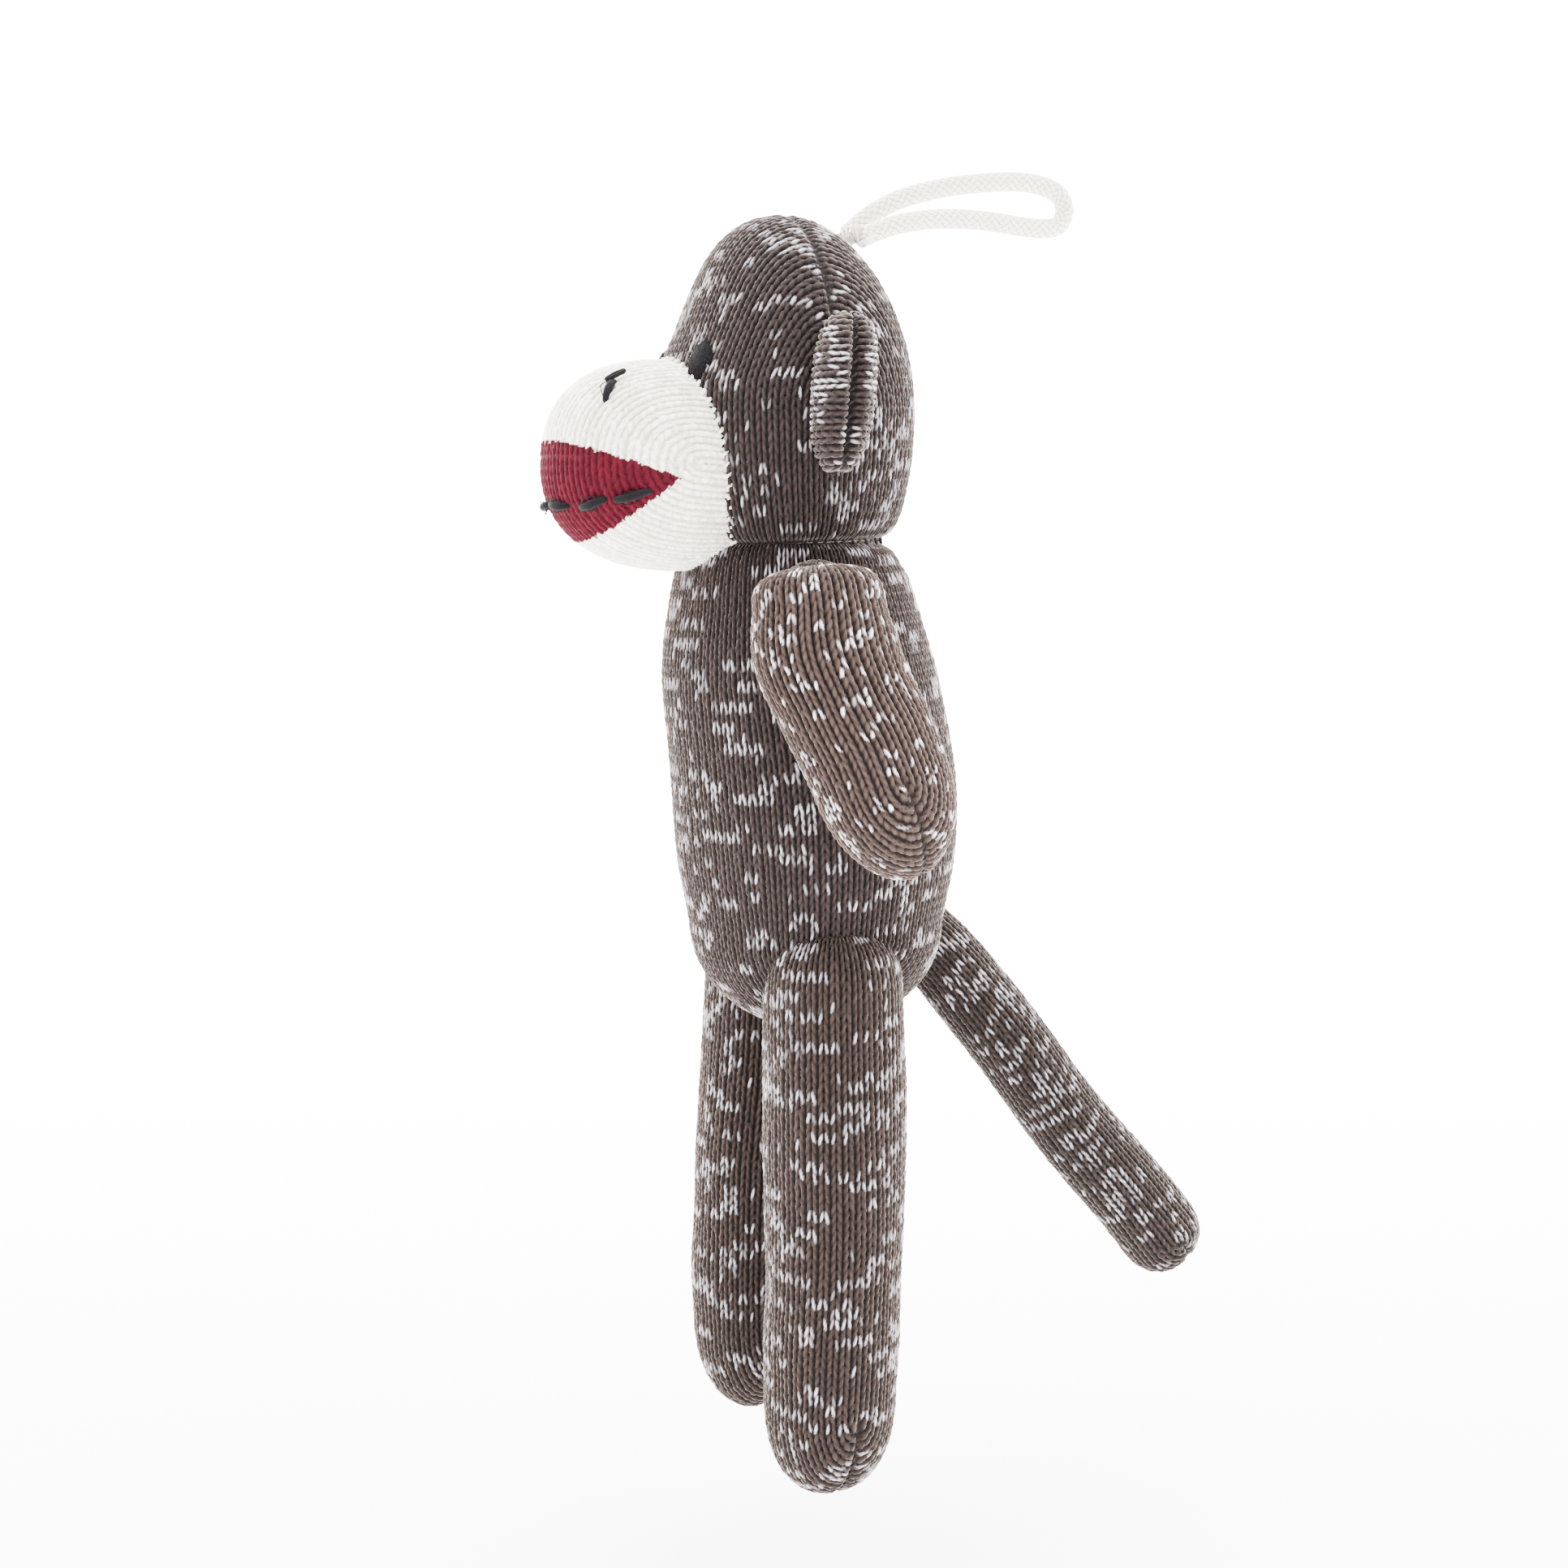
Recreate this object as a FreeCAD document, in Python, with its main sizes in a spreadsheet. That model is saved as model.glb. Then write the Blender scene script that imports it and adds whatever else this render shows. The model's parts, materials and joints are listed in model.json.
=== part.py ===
"""Stuffed monkey: a knitted toy that hangs from a cord loop on its crown.

Millimetres.  The monkey faces -Y, its left side is +X and +Z is up.  The origin is
where the loop is sewn to the back of the crown.
"""
import FreeCAD, Part
import math
import os

from FreeCAD import Placement, Rotation, Vector

DRIVING = {
    "knit": (2.0, "thickness of the knitted cover"),
    "gap": (0.4, "room between pieces that move"),
    "rib": (0.9, "how far a sewn seam stands proud"),
    "head_side": (34.0, "head, half width"),
    "head_depth": (34.0, "head, half depth"),
    "head_rise": (50.0, "head, half height"),
    "head_y": (-19.0, "head centre, fore and aft"),
    "head_z": (-46.0, "head centre, height"),
    "head_lean": (-5.0, "head leans back at the crown, degrees"),
    "neck_y": (-18.0, "neck pivot, fore and aft"),
    "neck_z": (-76.0, "neck pivot, height"),
    "neck_ball": (17.0, "radius of the stuffing in the neck"),
    "neck_cone": (8.0, "slope of each side of the neck crease, degrees"),
    "muzzle_side": (24.0, "muzzle, half width"),
    "muzzle_rise": (25.5, "muzzle, half height"),
    "muzzle_long": (36.0, "muzzle, length from its seam"),
    "muzzle_y": (-46.0, "muzzle seam centre, fore and aft"),
    "muzzle_z": (-58.7, "muzzle seam centre, height"),
    "muzzle_drop": (-3.5, "muzzle points down by, degrees; negative is up"),
    "chin_room": (33.0, "radius about the neck that the chin keeps clear"),
    "mouth_y": (-57.0, "corner of the mouth, fore and aft"),
    "mouth_z": (-62.0, "corner of the mouth, height"),
    "eye_wide": (3.4, "eye, half width"),
    "eye_tall": (5.0, "eye, half height"),
    "eye_thick": (1.4, "eye, half thickness"),
    "eye_x": (14.5, "eye centre, sideways"),
    "eye_z": (-33.5, "eye centre, height"),
    "ear_x": (35.5, "ear hinge line, sideways"),
    "ear_y": (-22.5, "ear hinge line, fore and aft"),
    "ear_z": (-41.8, "ear centre, height"),
    "ear_out": (12.0, "ear, reach from its hinge line"),
    "ear_thick": (7.5, "ear, half thickness"),
    "ear_tall": (19.7, "ear, half height"),
    "ear_roll": (3.0, "radius of the rolled seam at the ear's root"),
    "torso_side": (36.8, "torso, half width at the belly"),
    "torso_up": (98.0, "torso, height of the upper half oval"),
    "torso_down": (60.0, "torso, height of the lower half oval"),
    "torso_y": (-12.0, "belly centre, fore and aft"),
    "torso_z": (-147.0, "belly centre, height"),
    "torso_lean": (4.0, "body leans forward, degrees"),
    "shoulder_x": (30.5, "shoulder pivot, sideways"),
    "shoulder_y": (-24.5, "shoulder pivot, fore and aft"),
    "shoulder_z": (-86.0, "shoulder pivot, height"),
    "gather": (4.5, "radius of the gathered seam at the arm's top"),
    "arm_top": (14.5, "arm, radius at the top"),
    "arm_out": (14.0, "arm's top centre, sideways from the shoulder pivot"),
    "arm_ahead": (5.5, "arm's top centre, forward of the shoulder pivot"),
    "arm_drop": (12.0, "arm's top centre, below the shoulder pivot"),
    "hand_out": (19.5, "hand centre, sideways from the shoulder pivot"),
    "hand_back": (9.5, "hand centre, behind the shoulder pivot"),
    "hand_drop": (56.5, "hand centre, below the shoulder pivot"),
    "arm_end": (13.5, "arm, radius at the hand"),
    "arm_room": (1.7, "arm stands off the shoulder pivot by"),
    "arm_slope": (5.6, "arm's inner side leans out by, degrees"),
    "right_arm_back": (15.0, "right arm is sewn on further back by"),
    "hip_x": (22.6, "hip pivot, sideways"),
    "hip_y": (-15.8, "hip pivot, fore and aft"),
    "hip_z": (-191.0, "left hip pivot, height"),
    "hip_hitch": (4.5, "right hip is higher by"),
    "leg_round": (17.8, "leg radius"),
    "leg_long": (113.0, "leg, from hip pivot to the foot's centre"),
    "hip_ball": (9.0, "radius of the stuffing in the hip"),
    "leg_fore": (60.0, "leg swings forward by, degrees"),
    "leg_back": (25.0, "leg swings back by, degrees"),
    "tail_y": (19.0, "tail pivot, fore and aft"),
    "tail_z": (-178.5, "tail pivot, height"),
    "tail_round": (9.4, "tail radius"),
    "tail_tip": (11.4, "radius of the tail's end"),
    "tail_long": (131.5, "tail, from pivot to the end's centre"),
    "tail_slant": (39.6, "tail hangs off the vertical by, degrees"),
    "tail_ball": (5.0, "radius of the stuffing in the tail's root"),
    "tail_lift": (45.0, "tail lifts by, degrees"),
    "tail_fall": (18.0, "tail falls by, degrees"),
    "tail_seam_out": (10.0, "stitches at the tail's root, distance from its pivot"),
    "tail_room": (17.5, "half width of the hollow the tail swings in"),
    "cord": (5.0, "loop cord diameter"),
    "loop_bar": (3.0, "radius of the bar tack that holds the loop"),
    "loop_bar_long": (13.0, "length of the bar tack"),
}

# Corners of the hanging loop's route, from one end of the cord to the other.
LOOP_ROUTE = [
    (-3.4, 0.4, 0.9), (-3.4, 4.9, 5.2), (-3.2, 13.9, 10.6), (-2.8, 27.0, 14.6),
    (-2.4, 40.5, 16.9), (-1.8, 51.5, 17.9), (-1.2, 58.5, 17.0), (-0.6, 62.5, 15.1),
    (0.0, 64.0, 11.0), (0.6, 62.1, 7.0), (1.2, 58.0, 5.5), (1.8, 50.5, 5.4),
    (2.4, 37.5, 6.3), (2.8, 24.5, 5.9), (3.2, 12.5, 3.9), (3.4, 4.5, 1.0),
    (3.4, 0.6, -0.9),
]

X = Vector(1, 0, 0)
Y = Vector(0, 1, 0)
Z = Vector(0, 0, 1)
FAR = 400.0                  # larger than the whole toy

doc = FreeCAD.newDocument("stuffed_monkey")
sizes = doc.addObject("Spreadsheet::Sheet", "sizes")
for row, (alias, (value, meaning)) in enumerate(DRIVING.items(), start=1):
    sizes.set("A%d" % row, meaning)
    sizes.set("B%d" % row, str(value))
    sizes.setAlias("B%d" % row, alias)
doc.recompute()

pieces = {}                  # node name -> document object


def size(alias):
    """The number in the sheet's cell of that name."""
    return float(sizes.get(alias))


def primitive(kind, name, measures, at=("0", "0", "0"), turn=Rotation()):
    """A Part primitive whose measures and place are expressions over the sheet."""
    made = doc.addObject("Part::" + kind, name)
    made.Placement = Placement(Vector(), turn)
    for measure, expression in measures.items():
        made.setExpression(measure, expression)
    for direction, expression in zip("xyz", at):
        made.setExpression("Placement.Base." + direction, expression)
    return made


def oval(name, half, at, turn=Rotation(), low=-90.0, high=90.0):
    """An ellipsoid from half sizes along x, y and z, or the part between two latitudes."""
    made = primitive("Ellipsoid", name, {"Radius2": half[0], "Radius3": half[1],
                                         "Radius1": half[2]}, at, turn)
    made.Angle1 = low
    made.Angle2 = high
    return made


def ball(name, radius, at):
    return primitive("Sphere", name, {"Radius": radius}, at)


def fuse(name, parts):
    made = doc.addObject("Part::MultiFuse", name)
    made.Shapes = parts
    return made


def cut(name, base, tool):
    made = doc.addObject("Part::Cut", name)
    made.Base = base
    made.Tool = tool
    return made


def common(name, base, tool):
    made = doc.addObject("Part::Common", name)
    made.Base = base
    made.Tool = tool
    return made


def feature(name, shape, position=Placement()):
    """An object whose shape is worked out here from the sheet's sizes."""
    made = doc.addObject("Part::Feature", name)
    made.Shape = shape
    if not position.isIdentity():
        made.Placement = position
    return made


def keep(made, node):
    """Hand an object in as a sub-part."""
    made.Label = node
    pieces[node] = made
    return made


def place(alias, side=1):
    """A pivot's three expressions; side -1 is the monkey's right, which isn't a pure mirror."""
    depth = f"sizes.{alias}_y"
    height = f"sizes.{alias}_z"
    if alias == "hip" and side < 0:
        height = "sizes.hip_z + sizes.hip_hitch"
    if alias == "shoulder" and side < 0:
        depth = "sizes.shoulder_y + sizes.right_arm_back"
    return (f"{side} * sizes.{alias}_x", depth, height)


def grown(expression, amount):
    """An expression made larger by another one."""
    return f"{expression} + {amount}"


def capsule(start, start_round, end, end_round):
    """A round-ended taper between two points."""
    along = end - start
    if start_round == end_round:
        body = Part.makeCylinder(start_round, along.Length, start, along)
    else:
        body = Part.makeCone(start_round, end_round, along.Length, start, along)
    return body.fuse([Part.makeSphere(start_round, start), Part.makeSphere(end_round, end)])


def slab(x_half, y_low, y_high, z_low, z_high):
    """A block that is symmetrical about the middle plane."""
    corner = Vector(-x_half, y_low, z_low)
    return Part.makeBox(2 * x_half, y_high - y_low, z_high - z_low, corner)


# ---------------------------------------------------------------- head

HEAD_AT = ("0", "sizes.head_y", "sizes.head_z")
HEAD_TURN = Rotation(X, size("head_lean"))
NECK_AT = ("0", "sizes.neck_y", "sizes.neck_z")


def head_oval(name, more):
    half = [grown(f"sizes.head_{way}", more) for way in ("side", "depth", "rise")]
    return oval(name, half, HEAD_AT, HEAD_TURN)


def neck_hollow(upward):
    """What the neck crease takes from one side: everything past a shallow cone."""
    reach = FAR * math.tan(math.radians(size("neck_cone")))
    pivot = Vector(0, size("neck_y"), size("neck_z"))
    side = 1 if upward else -1
    beyond = Part.makeCylinder(FAR, FAR, pivot, Z * -side)
    crease = Part.makeCone(0.01, FAR, reach, pivot, Z * side)
    crease_top = Part.makeCylinder(FAR, reach, pivot, Z * side)
    return beyond.fuse(crease_top.cut(crease)).removeSplitter()


def make_head():
    """Cover and stuffing, with room for the neck, the ears' roots and the loop's tack."""
    rooms = [feature("neck_crease_head", neck_hollow(True)),
             ball("neck_socket", "sizes.neck_ball + sizes.gap", NECK_AT)]
    bar_radius = "sizes.loop_bar + sizes.gap"
    rooms.append(primitive("Cylinder", "loop_groove",
                           {"Radius": bar_radius, "Height": "sizes.loop_bar_long + 2 * sizes.gap"},
                           ("-sizes.loop_bar_long / 2 - sizes.gap", "0", "0"), Rotation(Y, 90)))
    for side, word in ((1, "left"), (-1, "right")):
        x, y, z = place("ear", side)
        rooms.append(primitive("Cylinder", "ear_groove_" + word,
                               {"Radius": "sizes.ear_roll + sizes.gap",
                                "Height": "2 * sizes.ear_tall"},
                               (x, y, z + " - sizes.ear_tall")))
    room = fuse("head_room", rooms)
    outer = head_oval("head_form", "0")
    inner = head_oval("head_inside", "-sizes.knit")
    shell = cut("head_shell", outer, inner)
    keep(cut("head_cover_body", shell, room), "head_cover")
    keep(cut("head_stuffing_body", inner, room), "head_stuffing")
    return outer, room


def make_head_seams(head, room):
    """Ribs of sewn yarn: over the crown from ear to ear, and round the neck."""
    proud = head_oval("head_proud", "sizes.rib")
    skin = cut("head_seam_skin", proud, head)
    clear = cut("head_seam_clear", skin, room)
    crown_y = size("head_y") + 3.0
    over = feature("crown_band", slab(FAR / 4, crown_y - 1.2, crown_y + 1.2, -18.0, 20.0))
    keep(common("crown_seam_body", clear, over), "crown_seam")
    rim = size("neck_z") + size("head_side") * math.tan(math.radians(size("neck_cone")))
    ring = feature("neck_band", slab(FAR / 4, -FAR / 4, FAR / 4, rim - 4.0, rim + 0.6))
    keep(common("neck_seam_body", clear, ring), "neck_seam")


def make_neck():
    keep(ball("neck_plug", "sizes.neck_ball", NECK_AT), "neck_stuffing")


# ---------------------------------------------------------------- muzzle, mouth, face

MUZZLE_TURN = Rotation(X, 90 + size("muzzle_drop"))
MUZZLE_AT = ("0", "sizes.muzzle_y", "sizes.muzzle_z")


def muzzle_oval(name, more):
    """The ellipsoid's own +z is the way the muzzle points."""
    half = [grown(f"sizes.muzzle_{way}", more) for way in ("side", "rise", "long")]
    return oval(name, half, MUZZLE_AT, MUZZLE_TURN)


def mouth_wedge():
    """The lips' panel spreads forward from the two corners of the mouth."""
    corner = Vector(-FAR / 4, size("mouth_y"), size("mouth_z"))
    above = corner + Vector(0, -57.0, 19.5)
    below = corner + Vector(0, -54.0, -45.0)
    face = Part.Face(Part.makePolygon([corner, above, below, corner]))
    return face.extrude(X * (FAR / 2))


def make_muzzle(head):
    """Cream cover, red lip panel and stuffing, cut to the head and clear of the chest."""
    neck_axis = Vector(0, size("neck_y"), -FAR / 4)
    chin = Part.makeCylinder(size("chin_room"), FAR / 4 + size("neck_z") + 6.0, neck_axis, Z)
    room = fuse("muzzle_room", [head, feature("chin_hollow", chin)])
    outer = muzzle_oval("muzzle_form", "0")
    inner = muzzle_oval("muzzle_inside", "-sizes.knit")
    shell = cut("muzzle_shell", outer, inner)
    cover = cut("muzzle_shell_trimmed", shell, room)
    wedge = feature("mouth_wedge", mouth_wedge())
    keep(cut("muzzle_cover_body", cover, wedge), "muzzle_cover")
    keep(common("mouth_panel_body", cover, wedge), "mouth_panel")
    keep(cut("muzzle_stuffing_body", inner, room), "muzzle_stuffing")
    proud_muzzle = muzzle_oval("muzzle_proud", "sizes.rib")
    proud_head = head_oval("head_proud_muzzle", "2 * sizes.rib")
    ring = common("muzzle_ring", proud_muzzle, proud_head)
    solid = fuse("muzzle_and_head", [outer, room])
    keep(cut("muzzle_seam_body", ring, solid), "muzzle_seam")
    return outer


def on_muzzle(across, up, proud):
    """A point on the muzzle, from where its fabric is crossed: sideways and upward."""
    half_up = size("muzzle_rise")
    share = (across / size("muzzle_side")) ** 2 + (up / half_up) ** 2
    forward = size("muzzle_long") * math.sqrt(1 - share) + proud
    base = Vector(0, size("muzzle_y"), size("muzzle_z"))
    drop = math.radians(size("muzzle_drop"))
    ahead = Vector(0, -math.cos(drop), -math.sin(drop))
    upward = Vector(0, -math.sin(drop), math.cos(drop))
    return base + X * across + ahead * forward + upward * up


def stitch(start, end, radius):
    return capsule(start, radius, end, radius)


def make_face_stitches(muzzle):
    """Running stitches along the lips, and a short stitched mark for each nostril."""
    dashes = []
    for side in (1, -1):
        for start, end in (((1.6, -11.2), (6.8, -11.8)), ((10.2, -12.3), (15.0, -10.4)),
                           ((16.4, -10.2), (19.6, -8.6))):
            dashes.append(stitch(on_muzzle(side * start[0], start[1], 0.9),
                                 on_muzzle(side * end[0], end[1], 0.9), 0.6))
    mouth = feature("mouth_stitch_group", Part.makeCompound(dashes))
    keep(cut("mouth_stitch_body", mouth, muzzle), "mouth_stitches")
    marks = []
    for side in (1, -1):
        low = on_muzzle(side * 13.0, 13.2, 0.8)
        high = on_muzzle(side * 10.5, 18.5, 0.8)
        marks.append(stitch(low, high, 0.5))
    nostrils = feature("nostril_group", Part.makeCompound(marks))
    keep(cut("nostril_body", nostrils, muzzle), "nostril_stitches")


def make_eyes(head):
    """Two flat oval eyes of black yarn on the front of the head, clear of the muzzle's seam."""
    clear = fuse("eye_clear", [head, muzzle_oval("eye_muzzle", "2 * sizes.rib")])
    for side, word in ((1, "left"), (-1, "right")):
        ahead = size("head_depth") * math.sqrt(
            1 - (size("eye_x") / size("head_side")) ** 2
            - ((size("eye_z") - size("head_z")) / size("head_rise")) ** 2)
        eye_y = size("head_y") + 1.0 - ahead
        facing = math.degrees(math.asin(size("eye_x") / size("head_side")))
        form = oval("eye_form_" + word, ("sizes.eye_wide", "sizes.eye_thick", "sizes.eye_tall"),
                    (f"{side} * sizes.eye_x", str(eye_y), "sizes.eye_z"),
                    Rotation(Z, side * facing) * Rotation(X, -10))
        keep(cut("eye_body_" + word, form, clear), "eye_" + word)


# ---------------------------------------------------------------- ears

def make_ears():
    """A padded tab each side, on a rolled seam that lets it flap."""
    for side, word in ((1, "left"), (-1, "right")):
        x, y, z = place("ear", side)
        roll = primitive("Cylinder", "ear_roll_" + word,
                         {"Radius": "sizes.ear_roll", "Height": "1.4 * sizes.ear_tall"},
                         (x, y, z + " - 0.7 * sizes.ear_tall"))
        keep(roll, "ear_seam_" + word)
        form = oval("ear_form_" + word, ("sizes.ear_out", "sizes.ear_thick", "sizes.ear_tall"),
                    (x, y, z))
        root = side * (size("ear_x") + 2.1)
        block = Part.makeBox(FAR / 2, FAR / 2, FAR / 2, Vector(-FAR / 2, -FAR / 4, -FAR / 4))
        inside = feature("ear_root_side_" + word, block,
                         Placement(Vector(root, 0, 0), Rotation(Z, 0 if side > 0 else 180)))
        outside = cut("ear_tab_" + word, form, inside)
        keep(cut("ear_body_" + word, outside, roll), "ear_" + word)


# ---------------------------------------------------------------- hanging loop

def rounded_path(corners):
    """Straight runs joined by arcs, each as large as its two runs allow."""
    points = [Vector(*corner) for corner in corners]
    edges = []
    start = points[0]
    radii = []
    for before, corner, after in zip(points, points[1:], points[2:]):
        way_in = (corner - before).normalize()
        way_out = (after - corner).normalize()
        turn = way_in.getAngle(way_out)
        reach = 0.45 * min((corner - before).Length, (after - corner).Length)
        radii.append(reach / math.tan(turn / 2))
        arc_start = corner - way_in * reach
        arc_end = corner + way_out * reach
        bulge = (way_out - way_in).normalize()
        depth = radii[-1] / math.cos(turn / 2) - radii[-1]
        edges.append(Part.LineSegment(start, arc_start).toShape())
        edges.append(Part.Arc(arc_start, corner + bulge * depth, arc_end).toShape())
        start = arc_end
    edges.append(Part.LineSegment(start, points[-1]).toShape())
    return Part.Wire(edges), radii


def make_loop():
    """The cord loop and the bar tack that fastens both its ends to the crown."""
    path, radii = rounded_path(LOOP_ROUTE)
    radius = size("cord") / 2
    first = path.Edges[0]
    way = first.tangentAt(first.FirstParameter)
    ring = Part.Wire(Part.makeCircle(radius, Vector(*LOOP_ROUTE[0]), way))
    tube = path.makePipeShell([ring], True, False)
    ideal = math.pi * radius ** 2 * path.Length
    print("loop: %.1f mm long, volume %.4f of section x length, radii %s"
          % (path.Length, tube.Volume / ideal, [round(one, 1) for one in radii]))
    keep(feature("hang_loop_tube", tube), "hang_loop")
    keep(primitive("Cylinder", "loop_bar_body",
                   {"Radius": "sizes.loop_bar", "Height": "sizes.loop_bar_long"},
                   ("-sizes.loop_bar_long / 2", "0", "0"), Rotation(Y, 90)), "loop_tack")


# ---------------------------------------------------------------- torso

TORSO_AT = ("0", "sizes.torso_y", "sizes.torso_z")


def torso_form(name, more):
    """A long half oval above the belly and a short one below it, leaning as one."""
    side = grown("sizes.torso_side", more)
    lean = Rotation(X, size("torso_lean"))
    upper = oval(name + "_upper", (side, side, grown("sizes.torso_up", more)), TORSO_AT,
                 lean, 0.0, 90.0)
    lower = oval(name + "_lower", (side, side, grown("sizes.torso_down", more)), TORSO_AT,
                 lean, -90.0, 0.0)
    return fuse(name, [upper, lower])


def swing_room(pivot, half_width, limb, reach, first, last):
    """What a limb sweeps as it swings about X, between two angles from straight down."""
    left = pivot - X * half_width

    def away(angle):
        return Vector(0, math.sin(math.radians(angle)), -math.cos(math.radians(angle)))

    tips = [left + away(angle) * reach for angle in (first, (first + last) / 2, last)]
    outlines = [Part.Wire([Part.makeLine(left, tips[0]), Part.Arc(*tips).toShape(),
                           Part.makeLine(tips[2], left)])]
    for angle, beyond in ((first, -90), (last, 90)):
        side = away(angle + beyond) * limb
        tip = left + away(angle) * reach
        outlines.append(Part.makePolygon([left, tip, tip + side, left + side, left]))
    prisms = [Part.Face(outline).extrude(X * (2 * half_width)) for outline in outlines]
    return prisms[0].fuse(prisms[1:])


def make_torso_rooms():
    """The hollows that the neck, shoulders, legs and tail move in."""
    rooms = [feature("neck_crease_torso", neck_hollow(False)),
             ball("neck_socket_torso", "sizes.neck_ball + sizes.gap", NECK_AT)]
    leg = size("leg_round") + size("gap")
    for side, word in ((1, "left"), (-1, "right")):
        rooms.append(ball("gather_room_" + word, "sizes.gather + sizes.gap",
                          place("shoulder", side)))
        rooms.append(ball("hip_socket_" + word, "sizes.leg_round + sizes.gap",
                          place("hip", side)))
        rooms.append(feature("hip_swing_" + word,
                             swing_room(hip_point(side), leg, leg, size("torso_down"),
                                        -size("leg_fore"), size("leg_back"))))
    tail = size("tail_round") + size("rib") + size("gap")
    rooms.append(ball("tail_socket", "sizes.tail_round + sizes.rib + sizes.gap", TAIL_AT))
    rooms.append(feature("tail_swing",
                         swing_room(tail_point(), size("tail_room"), tail, size("torso_down"),
                                    size("tail_slant") - size("tail_fall"),
                                    size("tail_slant") + size("tail_lift"))))
    return fuse("torso_room", rooms)


def make_torso():
    """Cover and stuffing, and the sewn ribs over the hips."""
    room = make_torso_rooms()
    outer = torso_form("torso_form", "0")
    inner = torso_form("torso_inside", "-sizes.knit")
    filling = cut("torso_stuffing_body", inner, room)
    keep(filling, "torso_stuffing")
    whole = cut("torso_whole", outer, room)
    keep(cut("torso_cover_body", whole, filling), "torso_cover")
    proud = torso_form("torso_proud", "sizes.rib")
    skin = cut("torso_seam_skin", proud, outer)
    clear = cut("torso_seam_clear", skin, room)
    for side, word in ((1, "left"), (-1, "right")):
        rim = ball("hip_rim_" + word, "sizes.leg_round + sizes.gap + 2 * sizes.rib",
                   place("hip", side))
        keep(common("hip_seam_body_" + word, clear, rim), "hip_seam_" + word)


# ---------------------------------------------------------------- limbs

TAIL_AT = ("0", "sizes.tail_y", "sizes.tail_z")


def tail_point():
    return Vector(0, size("tail_y"), size("tail_z"))


def hip_point(side):
    height = size("hip_z") + (size("hip_hitch") if side < 0 else 0)
    return Vector(side * size("hip_x"), size("hip_y"), height)


def shoulder_point(side):
    depth = size("shoulder_y") + (size("right_arm_back") if side < 0 else 0)
    return Vector(side * size("shoulder_x"), depth, size("shoulder_z"))


def closing_seam(name, root, end, radius, form):
    """The rib that closes a limb's rounded end, in the plane of the limb's axis and X."""
    facing = X.cross(end - root)
    ring = Part.makeTorus(radius, size("rib"), end, facing)
    return cut(name, feature(name + "_ring", ring), form)


def make_arm(side, word):
    """A padded arm sewn on by a gathered seam, with a flat inner side."""
    pivot = shoulder_point(side)
    top = pivot + Vector(side * size("arm_out"), -size("arm_ahead"), -size("arm_drop"))
    hand = pivot + Vector(side * size("hand_out"), size("hand_back"), -size("hand_drop"))
    slope = math.tan(math.radians(size("arm_slope")))
    knit = size("knit")

    def outside(thinner):
        apex = pivot + X * side * (size("arm_room") + thinner)
        return Part.makeCone(0.01, FAR / 4 / slope, FAR / 4, apex, X * side)

    def flattened(thinner):
        form = capsule(top, size("arm_top") - thinner, hand, size("arm_end") - thinner)
        return form.common(outside(thinner))

    outer = feature("arm_form_" + word, flattened(0))
    inner = feature("arm_inside_" + word, flattened(knit))
    gather = place("shoulder", side)
    room = ball("arm_gather_room_" + word, "sizes.gather + sizes.gap", gather)
    shell = cut("arm_shell_" + word, outer, inner)
    keep(cut("arm_cover_body_" + word, shell, room), "arm_cover_" + word)
    keep(cut("arm_stuffing_body_" + word, inner, room), "arm_stuffing_" + word)
    keep(ball("gather_" + word, "sizes.gather", gather), "shoulder_seam_" + word)
    rib = closing_seam("hand_rib_" + word, top, hand, size("arm_end"), outer)
    clear = feature("hand_rib_side_" + word, outside(0))
    keep(common("hand_rib_body_" + word, rib, clear), "hand_seam_" + word)


def make_leg(side, word):
    """A straight padded tube with a rounded foot, which turns on the stuffing in its hip."""
    hip = hip_point(side)
    foot = hip - Z * size("leg_long")
    radius = size("leg_round")
    outer = feature("leg_form_" + word, capsule(hip, radius, foot, radius))
    inner_round = radius - size("knit")
    inner = feature("leg_inside_" + word, capsule(hip, inner_round, foot, inner_round))
    at = place("hip", side)
    keep(cut("leg_shell_" + word, outer, inner), "leg_cover_" + word)
    socket = ball("hip_ball_room_" + word, "sizes.hip_ball + sizes.gap", at)
    keep(cut("leg_fill_" + word, inner, socket), "leg_stuffing_" + word)
    keep(ball("hip_ball_" + word, "sizes.hip_ball", at), "hip_stuffing_" + word)
    keep(closing_seam("foot_rib_" + word, hip, foot, radius, outer), "foot_seam_" + word)


def make_tail():
    """A narrow padded tube with a rounded end and a ring of stitches round its root."""
    root = tail_point()
    slant = math.radians(size("tail_slant"))
    way = Vector(0, math.sin(slant), -math.cos(slant))
    tip = root + way * size("tail_long")
    knit = size("knit")
    outer = feature("tail_form", capsule(root, size("tail_round"), tip, size("tail_tip")))
    inner = feature("tail_inside",
                    capsule(root, size("tail_round") - knit, tip, size("tail_tip") - knit))
    keep(cut("tail_shell", outer, inner), "tail_cover")
    socket = ball("tail_ball_room", "sizes.tail_ball + sizes.gap", TAIL_AT)
    keep(cut("tail_fill", inner, socket), "tail_stuffing")
    keep(ball("tail_ball_body", "sizes.tail_ball", TAIL_AT), "tail_root_stuffing")
    band = Part.makeCylinder(size("tail_round") + size("rib"), 2 * size("rib"),
                             root + way * size("tail_seam_out"), way)
    keep(cut("tail_ring", feature("tail_band", band), outer), "tail_seam")
    keep(closing_seam("tail_rib", root, tip, size("tail_tip"), outer), "tail_end_seam")


# ---------------------------------------------------------------- build, test, write

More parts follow.
